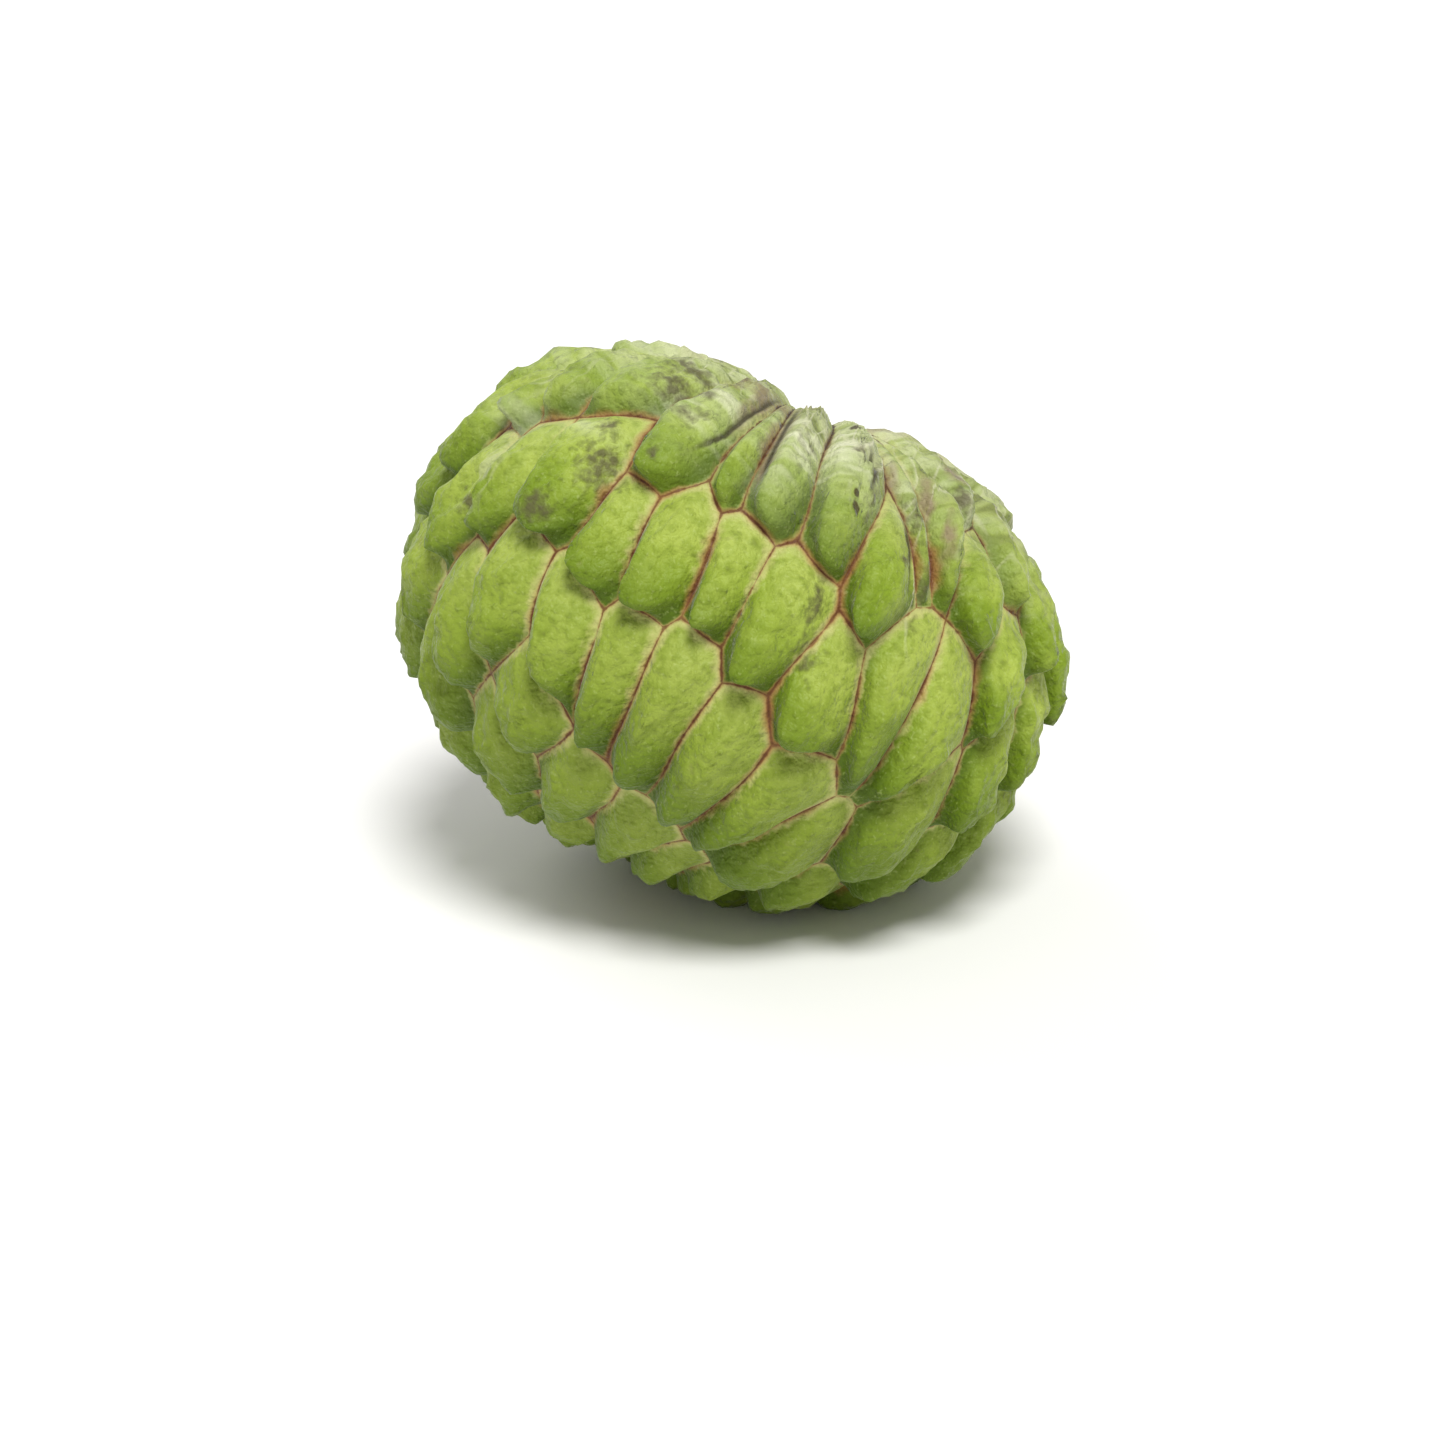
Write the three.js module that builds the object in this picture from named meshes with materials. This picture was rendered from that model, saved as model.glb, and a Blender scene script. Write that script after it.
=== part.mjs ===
// Custard apple: one whole fruit, as picked, lying on its lower side with the stem pit up.
//
// The body is a squat, nearly turned form with a pit at the stem end. Its skin is divided into
// scales, one for each carpel, and every scale is raised from the body by one formula. The scales
// follow a golden-angle spiral from the stem pit to the blossom end, except on the front, where
// their centres are set one by one.
//
// Millimetres, +Z up, front towards -Y. The origin is on the resting surface, under the centre.

import * as THREE from "three";

// ---- driving dimensions, millimetres and degrees ------------------------------------------

// body, measured in the seams between the scales
const EQUATOR_R = 45.4;
const STEM_HEIGHT = 34.2;
const TIP_HEIGHT = 36.3;
const STEM_POWER = 2.5;
const TIP_POWER = 2.15;
const PIT_DEPTH = 9.0;
const PIT_RADIUS = 9.5;
const SADDLE_DEPTH = 3.4;
const SADDLE_WIDTH = 6.5;
const SADDLE_LENGTH = 22.0;
const RIGHT_SHOULDER_DROP = 0.05;
const SCAR_RADIUS = 2.6;
const SCAR_BULGE = 0.9;
const TIP_RADIUS = 2.0;
const TIP_BULGE = 0.5;

// scales
const SCALE_RISE = 3.7;
const STEM_SIDE_SHOULDER = 6.5;
const TIP_SIDE_SHOULDER = 3.2;
const STEM_SIDE_RISE = 0.5;
const FULL_RISE_ALONG = 0.75;
const PIT_SIDE_RISE = 0.4;
const PIT_SIDE_END = 0.22;

// how much longer than wide the scales are
const SCALE_LENGTHENING = 1.75;
const STEM_LENGTHENING = { extra: 1.9, full: 0.1, none: 0.36 };
const TIP_SHORTENING = { less: 0.75, none: 0.62, full: 0.95 };

// where the scales are
const SPIRAL_SCALES = 146;
const SPIRAL_START = 0.15;
const SPIRAL_END = 0.965;
const SPIRAL_STEP_DEG = 137.508;
const SPIRAL_CLEAR = 0.15;
const SPIRAL_JITTER = 0.05;
const SIZE_JITTER = 0.002;
const RELAX_ROUNDS = 5;
const SEAM_WANDER = 0.008;

// how the fruit lies
const LEAN_RIGHT_DEG = 23;
const LEAN_BACK_DEG = 20;
const CENTRE_RIGHT = -0.5;
const CENTRE_BACK = -0.5;
const CENTRE_HEIGHT = 39.6;

// mesh
const SEAM_STEP = 3.9;
const RING_SCALES = [0.79, 0.44];
const PROFILE_STEPS = 1800;
const FLAT_STEPS = 2000;
const SLOPE_STEP = 0.002;
const CORNER_JOIN = 0.02;

// Front scales: [turn round the axis in degrees, place from stem 0 to tip 1, extra size].
// Turn 0 is the front, and positive turns go to the right.
const FRONT_SCALES = [
  [-56, 0.325, 0], [-39, 0.295, 0.004], [-20.5, 0.36, 0.004], [-8, 0.365, -0.008],
  [0, 0.355, 0], [11.5, 0.36, 0.003], [23, 0.4, 0.003], [28.5, 0.36, -0.004],
  [35.5, 0.33, 0], [44, 0.235, 0], [46, 0.36, 0], [58, 0.3, 0],
  [-61, 0.36, 0], [-71, 0.4, 0], [-61.5, 0.475, 0], [-51, 0.455, 0],
  [-37, 0.42, 0.006], [-23, 0.475, 0], [-14, 0.472, 0.004], [-3.5, 0.47, 0],
  [8, 0.49, 0.007], [19.5, 0.54, 0.003], [-5, 0.6, 0], [9, 0.64, 0],
  [21, 0.67, 0], [31.5, 0.505, 0], [-16, 0.585, 0], [-27, 0.585, 0],
];
const FRONT_PATCH = { from: -75, to: 64, below: 0.3 };

// ---- body ---------------------------------------------------------------------------------

const TURN = 2 * Math.PI;
const radians = THREE.MathUtils.degToRad;
const { clamp, lerp } = THREE.MathUtils;

function smooth(from, to, value) {
  const t = clamp((value - from) / (to - from), 0, 1);
  return t * t * (3 - 2 * t);
}

// The body's outline from the stem to the tip: radius, height and length along the outline.
function bodyOutline() {
  const points = [];
  let length = 0;
  for (let i = 0; i <= PROFILE_STEPS; i += 1) {
    const t = (Math.PI * i) / PROFILE_STEPS;
    const upper = 2 * i < PROFILE_STEPS;
    const power = 2 / (upper ? STEM_POWER : TIP_POWER);
    const ends = i === 0 || i === PROFILE_STEPS;
    const r = ends ? 0 : EQUATOR_R * Math.sin(t) ** power;
    let z = Math.abs(Math.cos(t)) ** power;
    z *= upper ? STEM_HEIGHT : -TIP_HEIGHT;
    if (upper) z -= PIT_DEPTH * Math.exp(-((r / PIT_RADIUS) ** 2));
    const last = points[points.length - 1];
    if (last) length += Math.hypot(r - last.r, z - last.z);
    points.push({ r, z, length });
  }
  return points;
}

const OUTLINE = bodyOutline();
const OUTLINE_LENGTH = OUTLINE[PROFILE_STEPS].length;

// Where a place s from 0 at the stem to 1 at the tip lies on the outline.
function outlineAt(s) {
  const goal = clamp(s, 0, 1) * OUTLINE_LENGTH;
  let low = 0;
  let high = PROFILE_STEPS;
  while (high - low > 1) {
    const middle = (low + high) >> 1;
    if (OUTLINE[middle].length <= goal) low = middle;
    else high = middle;
  }
  const a = OUTLINE[low];
  const b = OUTLINE[high];
  const f = (goal - a.length) / (b.length - a.length);
  return { r: a.r + f * (b.r - a.r), z: a.z + f * (b.z - a.z) };
}

function placeOfRadius(radius, fromStem) {
  const step = fromStem ? 1 : -1;
  let i = fromStem ? 0 : PROFILE_STEPS;
  while (OUTLINE[i].r <= radius) i += step;
  return OUTLINE[i].length / OUTLINE_LENGTH;
}

const STEM_EDGE = placeOfRadius(SCAR_RADIUS, true);
const TIP_EDGE = placeOfRadius(TIP_RADIUS, false);

// ---- the skin laid flat -------------------------------------------------------------------

// In the flat skin, x is the turn round the axis in radians, and y grows from the stem to the
// tip so that a scale of natural proportions is as wide as it is high. Scales are longest
// beside the stem pit, where they run into it as wedges.
function lengthening(s) {
  const stem = STEM_LENGTHENING.extra * (1 - smooth(STEM_LENGTHENING.full, STEM_LENGTHENING.none, s));
  const tip = TIP_SHORTENING.less * smooth(TIP_SHORTENING.none, TIP_SHORTENING.full, s);
  return SCALE_LENGTHENING + stem - tip;
}

function runningSum(from, to, density) {
  const sums = [0];
  const step = (to - from) / FLAT_STEPS;
  for (let i = 1; i <= FLAT_STEPS; i += 1) {
    const s = from + i * step;
    sums.push(sums[i - 1] + ((density(s) + density(s - step)) / 2) * step);
  }
  return sums;
}

const flatDensity = (s) => OUTLINE_LENGTH / (outlineAt(s).r * lengthening(s));
const FLAT = runningSum(STEM_EDGE, TIP_EDGE, flatDensity);
const FLAT_HEIGHT = FLAT[FLAT_STEPS];

function flatY(s) {
  const f = clamp((s - STEM_EDGE) / (TIP_EDGE - STEM_EDGE), 0, 1) * FLAT_STEPS;
  const i = Math.min(Math.floor(f), FLAT_STEPS - 1);
  return FLAT[i] + (f - i) * (FLAT[i + 1] - FLAT[i]);
}

// The place, from `from` to `to`, at which a running sum reaches a value.
function placeInSum(sums, value, from, to) {
  let low = 0;
  let high = FLAT_STEPS;
  while (high - low > 1) {
    const middle = (low + high) >> 1;
    if (sums[middle] <= value) low = middle;
    else high = middle;
  }
  const f = clamp((value - sums[low]) / (sums[high] - sums[low]), 0, 1);
  return from + ((low + f) / FLAT_STEPS) * (to - from);
}

const placeOfY = (y) => placeInSum(FLAT, y, STEM_EDGE, TIP_EDGE);

function wrap(x) {
  return x - TURN * Math.floor((x + Math.PI) / TURN);
}

// ---- scale centres ------------------------------------------------------------------------

// A repeatable value from -1 to 1 for a whole number.
function scatter(n) {
  const v = Math.sin(n * 12.9898 + 4.1414) * 43758.5453;
  return 2 * (v - Math.floor(v)) - 1;
}

function frontCentres() {
  return FRONT_SCALES.map(([turn, place, extra]) => (
    { x: radians(turn), y: flatY(place), extra, set: true }
  ));
}

function inFrontPatch(x, s) {
  const turn = THREE.MathUtils.radToDeg(x);
  return turn > FRONT_PATCH.from && turn < FRONT_PATCH.to && s < FRONT_PATCH.below;
}

function spiralCentres(front) {
  const areas = runningSum(SPIRAL_START, SPIRAL_END, (s) => outlineAt(s).r);
  const centres = [];
  for (let k = 0; k < SPIRAL_SCALES; k += 1) {
    const share = ((k + 0.5) / SPIRAL_SCALES) * areas[FLAT_STEPS];
    const s = placeInSum(areas, share, SPIRAL_START, SPIRAL_END);
    const x = wrap(k * radians(SPIRAL_STEP_DEG) + SPIRAL_JITTER * scatter(k));
    const y = flatY(s) + SPIRAL_JITTER * scatter(k + 500);
    const near = front.some((c) => Math.hypot(wrap(c.x - x), c.y - y) < SPIRAL_CLEAR);
    if (near || inFrontPatch(x, s)) continue;
    centres.push({ x, y, extra: SIZE_JITTER * scatter(k + 900), set: false });
  }
  return centres;
}

// Keeps the side of a polygon where nx * x + ny * y <= limit.
function clip(polygon, nx, ny, limit) {
  const kept = [];
  polygon.forEach((p, i) => {
    const q = polygon[(i + 1) % polygon.length];
    const dp = nx * p.x + ny * p.y - limit;
    const dq = nx * q.x + ny * q.y - limit;
    if (dp <= 0) kept.push(p);
    if ((dp < 0 && dq > 0) || (dp > 0 && dq < 0)) {
      const f = dp / (dp - dq);
      kept.push({ x: p.x + f * (q.x - p.x), y: p.y + f * (q.y - p.y) });
    }
  });
  return kept;
}

// How far from a centre its scale can reach in the flat skin.
const REACH = 2;

// The polygon of the flat skin that is nearer to one centre than to any other.
function scaleOutline(centre, centres) {
  let polygon = [
    { x: centre.x - REACH, y: 0 },
    { x: centre.x + REACH, y: 0 },
    { x: centre.x + REACH, y: FLAT_HEIGHT },
    { x: centre.x - REACH, y: FLAT_HEIGHT },
  ];
  for (const other of centres) {
    if (other === centre) continue;
    const dx = wrap(other.x - centre.x);
    const dy = other.y - centre.y;
    if (Math.hypot(dx, dy) > REACH) continue;
    const middleX = centre.x + dx / 2;
    const middleY = centre.y + dy / 2;
    const limit = dx * middleX + dy * middleY + (centre.extra - other.extra) / 2;
    polygon = clip(polygon, dx, dy, limit);
  }
  return polygon;
}

function centroid(polygon) {
  let area = 0;
  let x = 0;
  let y = 0;
  polygon.forEach((p, i) => {
    const q = polygon[(i + 1) % polygon.length];
    const cross = p.x * q.y - q.x * p.y;
    area += cross;
    x += (p.x + q.x) * cross;
    y += (p.y + q.y) * cross;
  });
  return { x: x / (3 * area), y: y / (3 * area) };
}

function scaleCentres() {
  const front = frontCentres();
  const centres = front.concat(spiralCentres(front));
  for (let round = 0; round < RELAX_ROUNDS; round += 1) {
    const middles = centres.map((c) => centroid(scaleOutline(c, centres)));
    centres.forEach((c, i) => {
      if (!c.set) Object.assign(c, middles[i]);
    });
  }
  return centres;
}

// ---- the skin's mesh ----------------------------------------------------------------------

// What keeps the stem half from being a true turned form: a saddle that runs through the pit from
// front to back, and a lower shoulder on the right.
function sagged(point) {
  if (point.z <= 0) return point;
  const rightwards = Math.max(0, point.x / EQUATOR_R);
  const saddle = Math.exp(-((point.x / SADDLE_WIDTH) ** 2) - (point.y / SADDLE_LENGTH) ** 2);
  point.z *= 1 - RIGHT_SHOULDER_DROP * rightwards ** 2;
  point.z -= SADDLE_DEPTH * saddle;
  return point;
}

// A point of the body at turn x and place s, moved straight out from the surface.
function skinPoint(x, s, out) {
  const here = outlineAt(s);
  const before = outlineAt(s - SLOPE_STEP);
  const after = outlineAt(s + SLOPE_STEP);
  const dr = after.r - before.r;
  const dz = after.z - before.z;
  const size = Math.hypot(dr, dz);
  const r = here.r - (dz / size) * out;
  const z = here.z + (dr / size) * out;
  return sagged(new THREE.Vector3(r * Math.sin(x), -r * Math.cos(x), z));
}

class Skin {
  constructor() {
    this.points = [];
    this.triangles = [];
    this.corners = [];
    this.seams = new Map();
  }

  addPoint(x, s, out) {
    this.points.push(skinPoint(x, s, out));
    return this.points.length - 1;
  }

  // A point of a seam, moved a little so that seams wander as grown ones do. The waves cross at
  // unequal lengths, so that no two seams wander alike.
  seamPoint(x, y) {
    const aside = Math.sin(7 * x + 12 * y) + 0.7 * Math.sin(15 * x - 19 * y + 1);
    const down = Math.sin(8 * x - 13 * y + 2) + 0.7 * Math.sin(17 * x + 16 * y);
    const moved = x + SEAM_WANDER * aside;
    const s = placeOfY(y + SEAM_WANDER * down);
    return { x: moved, s, index: this.addPoint(moved, s, 0) };
  }

  // Corners of neighbouring scales that meet, or nearly meet, are one corner.
  corner(p) {
    const found = this.corners.find((c) => Math.hypot(wrap(c.flatX - p.x), c.flatY - p.y) < CORNER_JOIN);
    if (found) return found;
    const made = { flatX: p.x, flatY: p.y, name: this.corners.length, ...this.seamPoint(p.x, p.y) };
    this.corners.push(made);
    return made;
  }

  // The points along a seam, from corner a to corner b, made once and shared by both scales.
  seam(a, b) {
    const forward = a.name < b.name;
    const name = forward ? `${a.name} ${b.name}` : `${b.name} ${a.name}`;
    if (!this.seams.has(name)) {
      const [from, to] = forward ? [a, b] : [b, a];
      const span = this.points[from.index].distanceTo(this.points[to.index]);
      const parts = Math.max(1, Math.round(span / SEAM_STEP));
      const steps = [from];
      for (let i = 1; i < parts; i += 1) {
        const x = from.flatX + (wrap(to.flatX - from.flatX) * i) / parts;
        const y = from.flatY + ((to.flatY - from.flatY) * i) / parts;
        steps.push(this.seamPoint(x, y));
      }
      steps.push(to);
      this.seams.set(name, { steps, uses: [] });
    }
    const seam = this.seams.get(name);
    const steps = forward ? seam.steps : [...seam.steps].reverse();
    seam.uses.push(steps);
    return steps;
  }

  addScale(polygon) {
    const corners = polygon.map((p) => this.corner(p)).filter((c, i, all) => c !== all.at(i - 1));
    const sides = corners.map((c, i) => this.seam(c, corners[(i + 1) % corners.length]));
    const scale = new Scale(sides);
    let outer = sides.flatMap((side) => side.slice(0, -1).map((p) => p.index));
    for (const size of RING_SCALES) {
      const inner = scale.edge.map((q) => this.addPoint(...scale.raised(q.x * size, q.y * size)));
      this.joinRings(outer, inner);
      outer = inner;
    }
    const middle = this.addPoint(...scale.raised(0, 0));
    outer.forEach((index, i) => {
      this.triangles.push([outer[(i + 1) % outer.length], index, middle]);
    });
  }

  joinRings(outer, inner) {
    outer.forEach((a, i) => {
      const next = (i + 1) % outer.length;
      this.triangles.push([outer[next], a, inner[next]], [a, inner[i], inner[next]]);
    });
  }

  // Closes the ring of seams that only one scale uses, at the stem scar and at the tip.
  addEnd(isEnd, middle) {
    this.points.push(middle);
    const last = this.points.length - 1;
    for (const { uses } of this.seams.values()) {
      if (uses.length !== 1 || !isEnd(uses[0][0].s)) continue;
      uses[0].slice(1).forEach((p, i) => {
        this.triangles.push([uses[0][i].index, p.index, last]);
      });
    }
  }
}

// One scale, in its own flat millimetres: x across, and y along, growing towards the tip.
class Scale {
  constructor(sides) {
    const start = sides[0][0].x;
    const turns = sides.flat().map((p) => wrap(p.x - start));
    this.turn = start + (Math.min(...turns) + Math.max(...turns)) / 2;
    const flat = sides.map((side) => side.map((p) => (
      { x: wrap(p.x - this.turn) * outlineAt(p.s).r, y: p.s * OUTLINE_LENGTH }
    )));
    this.middle = centroid(flat.flatMap((side) => side.slice(0, -1)));
    this.sides = flat.map((side) => side.map((p) => (
      { x: p.x - this.middle.x, y: p.y - this.middle.y }
    )));
    this.edge = this.sides.flatMap((side) => side.slice(0, -1));
    this.low = Math.min(...this.edge.map((p) => p.y));
    this.high = Math.max(...this.edge.map((p) => p.y));
  }

  // How far a point has risen from the seams, 0, to the crown, 1. Each side pulls the scale down
  // within its own shoulder, so a scale is round where two sides meet.
  crown(x, y, shoulder) {
    let crown = 1;
    for (const side of this.sides) {
      let nearest = Infinity;
      side.slice(1).forEach((b, i) => {
        const a = side[i];
        const dx = b.x - a.x;
        const dy = b.y - a.y;
        const t = clamp(((x - a.x) * dx + (y - a.y) * dy) / (dx * dx + dy * dy), 0, 1);
        nearest = Math.min(nearest, Math.hypot(x - a.x - t * dx, y - a.y - t * dy));
      });
      const left = Math.max(0, 1 - nearest / shoulder);
      crown *= 1 - left * left;
    }
    return crown;
  }

  // The scale stands lower at its stem side and drops steeply at its tip side.
  raised(x, y) {
    const along = (y - this.low) / (this.high - this.low);
    const shoulder = lerp(STEM_SIDE_SHOULDER, TIP_SIDE_SHOULDER, along);
    const s = (y + this.middle.y) / OUTLINE_LENGTH;
    const scaleSlope = lerp(STEM_SIDE_RISE, 1, smooth(0, FULL_RISE_ALONG, along));
    const pitFade = lerp(PIT_SIDE_RISE, 1, smooth(0, PIT_SIDE_END, s));
    const rise = SCALE_RISE * scaleSlope * pitFade * this.crown(x, y, shoulder);
    return [this.turn + (x + this.middle.x) / outlineAt(s).r, s, rise];
  }
}

// ---- the fruit ----------------------------------------------------------------------------

function fruitPoints() {
  const skin = new Skin();
  const centres = scaleCentres();
  centres.forEach((c) => skin.addScale(scaleOutline(c, centres)));
  const scarZ = outlineAt(STEM_EDGE).z - SADDLE_DEPTH + SCAR_BULGE;
  const tipZ = outlineAt(TIP_EDGE).z - TIP_BULGE;
  skin.addEnd((s) => s < 0.5, new THREE.Vector3(0, 0, scarZ));
  skin.addEnd((s) => s > 0.5, new THREE.Vector3(0, 0, tipZ));
  return skin;
}

// Leans the fruit as it lies, and flattens the scale crowns that it rests on.
function layDown(points) {
  const lean = new THREE.Euler(radians(-LEAN_BACK_DEG), radians(LEAN_RIGHT_DEG), 0, "XYZ");
  const centre = new THREE.Vector3(CENTRE_RIGHT, CENTRE_BACK, CENTRE_HEIGHT);
  points.forEach((p) => {
    p.applyEuler(lean).add(centre);
    p.z = Math.max(0, p.z);
  });
}

function fruit() {
  const skin = fruitPoints();
  layDown(skin.points);
  const geometry = new THREE.BufferGeometry().setFromPoints(skin.points);
  geometry.setIndex(skin.triangles.flat());
  geometry.computeVertexNormals();
  const green = new THREE.MeshStandardMaterial({ color: 0x7fb23a, roughness: 0.6, metalness: 0 });
  const mesh = new THREE.Mesh(geometry, green);
  mesh.name = "fruit";
  return mesh;
}

const custardApple = new THREE.Group();
custardApple.add(fruit());

export default custardApple;
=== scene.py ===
"""Custard apple: one whole fruit whose skin is raised in scales, with a leathery green finish.

The body is a squat turned form. Its skin is laid flat and divided into scales, which follow a
golden-angle spiral, except on the front, where their centres are set one by one. A Geometry Nodes
tree raises every scale and adds its dents, wrinkles and furrows. The CAD node is made by the same
rule, without the fine relief. The rule works in millimetres and radians, and the mesh is made in
metres.
"""

import math
from types import SimpleNamespace

import bpy
import numpy as np
from mathutils import Euler, Matrix, Vector


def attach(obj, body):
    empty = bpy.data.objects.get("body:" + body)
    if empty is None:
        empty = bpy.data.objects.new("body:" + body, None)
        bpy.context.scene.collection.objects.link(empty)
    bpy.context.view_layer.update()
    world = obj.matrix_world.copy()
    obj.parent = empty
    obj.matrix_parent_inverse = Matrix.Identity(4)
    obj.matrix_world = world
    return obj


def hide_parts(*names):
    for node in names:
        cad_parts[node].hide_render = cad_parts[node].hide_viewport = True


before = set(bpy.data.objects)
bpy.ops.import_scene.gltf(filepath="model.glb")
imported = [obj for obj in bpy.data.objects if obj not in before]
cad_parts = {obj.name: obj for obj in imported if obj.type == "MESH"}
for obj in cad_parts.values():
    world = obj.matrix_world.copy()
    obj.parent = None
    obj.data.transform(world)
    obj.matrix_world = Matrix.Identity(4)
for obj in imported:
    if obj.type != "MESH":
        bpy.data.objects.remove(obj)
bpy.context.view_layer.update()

MM = 0.001
TURN = 2 * math.pi

# ---- sizes in millimetres, as on the CAD node ----------------------------------------------
# A place runs along the body's outline, from 0 at the stem to 1 at the tip.

# body, measured in the seams between the scales
EQUATOR_R = 45.4
STEM_HEIGHT = 34.2
TIP_HEIGHT = 36.3
STEM_POWER = 2.5
TIP_POWER = 2.15
PIT_DEPTH = 9.0
PIT_RADIUS = 9.5
SADDLE_DEPTH = 3.4
SADDLE_WIDTH = 6.5
SADDLE_LENGTH = 22.0
RIGHT_SHOULDER_DROP = 0.05
SCAR_RADIUS = 2.6
SCAR_BULGE = 0.9
TIP_RADIUS = 2.0
TIP_BULGE = 0.5

# scales
SCALE_RISE = 3.7
STEM_SIDE_SHOULDER = 6.5
TIP_SIDE_SHOULDER = 3.2
STEM_SIDE_RISE = 0.5
FULL_RISE_ALONG = 0.75

# how much longer than wide the scales are
SCALE_LENGTHENING = 1.75
STEM_LENGTHENING = {"extra": 1.9, "full": 0.1, "none": 0.36}
TIP_SHORTENING = {"less": 0.75, "none": 0.62, "full": 0.95}

# where the scales are
SPIRAL_SCALES = 146
SPIRAL_START = 0.15
SPIRAL_END = 0.965
SPIRAL_STEP = math.radians(137.508)
SPIRAL_CLEAR = 0.15
SPIRAL_JITTER = 0.05
SIZE_JITTER = 0.002
RELAX_ROUNDS = 5
SEAM_WANDER = 0.008

# the whole number that each kind of seeded draw starts from
DRAWS = {"turn": 0, "place": 500, "size": 900, "tint": 40}

# how the fruit lies: it leans right, then back, about the middle of its body
LEAN_RIGHT = math.radians(23)
LEAN_BACK = math.radians(20)
BODY_CENTRE = Vector((-0.5, -0.5, 39.6))

# front scales: turn round the axis in degrees, place from stem 0 to tip 1, extra size
FRONT_SCALES = [
    (-56, 0.325, 0), (-39, 0.295, 0.004), (-20.5, 0.36, 0.004), (-8, 0.365, -0.008),
    (0, 0.355, 0), (11.5, 0.36, 0.003), (23, 0.4, 0.003), (28.5, 0.36, -0.004),
    (35.5, 0.33, 0), (44, 0.235, 0), (46, 0.36, 0), (58, 0.3, 0),
    (-61, 0.36, 0), (-71, 0.4, 0), (-61.5, 0.475, 0), (-51, 0.455, 0),
    (-37, 0.42, 0.006), (-23, 0.475, 0), (-14, 0.472, 0.004), (-3.5, 0.47, 0),
    (8, 0.49, 0.007), (19.5, 0.54, 0.003), (-5, 0.6, 0), (9, 0.64, 0),
    (21, 0.67, 0), (31.5, 0.505, 0), (-16, 0.585, 0), (-27, 0.585, 0),
]
FRONT_PATCH = {"from": -75, "to": 64, "below": 0.3}

# how finely the outline and the flat skin are worked out
PROFILE_STEPS = 1800
FLAT_STEPS = 2000
SLOPE_STEP = 0.002
CORNER_JOIN = 0.02

# ---- sizes of the finer net and its relief, in millimetres ---------------------------------

# spacing of the points in the seams, and the sizes of the rings inside them
SEAM_STEP = 0.78
RINGS = [0.96, 0.92, 0.87, 0.82, 0.76, 0.69, 0.61, 0.52, 0.42, 0.31, 0.19, 0.08]
FEWEST_RING_POINTS = 8

# scales are lower round the stem pit, over a longer stretch than on the CAD node, and their
# shoulders are narrower there
PIT_SIDE_RISE = 0.25
PIT_SIDE_END = 0.42
PIT_SIDE_SHOULDER = 0.3
PIT_SHOULDER_START = 0.12
PIT_SHOULDER_END = 0.36

# crowns lean over the seam at their tip side, most on the rows round the equator
SCALE_SLANT = math.radians(28)
OVERHANG = 4.8
OVERHANG_SHARES = {"places": [0.3, 0.45, 0.75], "shares": [0.3, 1.0, 0.4]}

# the tip side of a scale is rounded off like an ellipse, away from the stem
ROUND_INSIDE = 0.5
ROUND_OUTSIDE = 1.26
ROUND_FROM = 0.2
ROUND_FULL = 0.7
ROUND_PLACE_FROM = 0.2
ROUND_PLACE_FULL = 0.4

# domes, dents, wrinkles across the scales, ridges along them, and furrows; all but the domes
# fade out within SEAM_CLEAR of a seam
DOME_RISE = 0.9
DOME_REACH = 8.0
DENT_DEPTH = 1.7
DENT_WIDTH = 2.9
WRINKLE_DEPTH = 0.8
WRINKLE_WIDTH = 2.3
WRINKLE_SQUEEZE = (0.2, 0.2, 1.0)
RIDGE_HEIGHT = 0.8
RIDGE_WIDTH = 4.5
RIDGE_SQUEEZE = (1.0, 1.0, 0.4)
FURROW_DEPTH = 1.0
FURROW_WIDTH = 1.0
FURROW_REACH = 2.5
SEAM_CLEAR = 1.5

# how far from its middle value the noise still counts as a ridge: wide enough for the net in the
# relief, and thin in the colour
RIDGE_LINE = 0.12
PALE_LINE = 0.045

# Wrinkles fade away from the stem. They fade into the stem pit too, as ridges do, because narrow
# scales that are seen end on would look jagged there.
WRINKLED_PLACES = {"full": 0.14, "least": 0.42, "share": 0.65, "least_share": 0.08}
CALM_PLACES = {"calm": 0.21, "full": 0.34, "share": 0.05}
RIDGED_PLACES = {"none": 0.18, "full": 0.3}


def smooth(start, end, value):
    t = np.clip((value - start) / (end - start), 0, 1)
    return t * t * (3 - 2 * t)


# ---- body ----------------------------------------------------------------------------------

def body_outline():
    """The body's outline from the stem to the tip: radius, height and length along it."""
    t = np.pi * np.arange(PROFILE_STEPS + 1) / PROFILE_STEPS
    upper = 2 * np.arange(PROFILE_STEPS + 1) < PROFILE_STEPS
    power = np.where(upper, 2 / STEM_POWER, 2 / TIP_POWER)
    radius = EQUATOR_R * np.abs(np.sin(t)) ** power
    radius[[0, -1]] = 0
    height = np.where(upper, STEM_HEIGHT, -TIP_HEIGHT) * np.abs(np.cos(t)) ** power
    height -= np.where(upper, PIT_DEPTH * np.exp(-(radius / PIT_RADIUS) ** 2), 0)
    steps = np.hypot(np.diff(radius), np.diff(height))
    return radius, height, np.concatenate(([0], np.cumsum(steps)))


RADIUS, HEIGHT, LENGTH = body_outline()
OUTLINE_LENGTH = LENGTH[-1]


def radius_at(s):
    return np.interp(np.clip(s, 0, 1) * OUTLINE_LENGTH, LENGTH, RADIUS)


def height_at(s):
    return np.interp(np.clip(s, 0, 1) * OUTLINE_LENGTH, LENGTH, HEIGHT)


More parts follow.
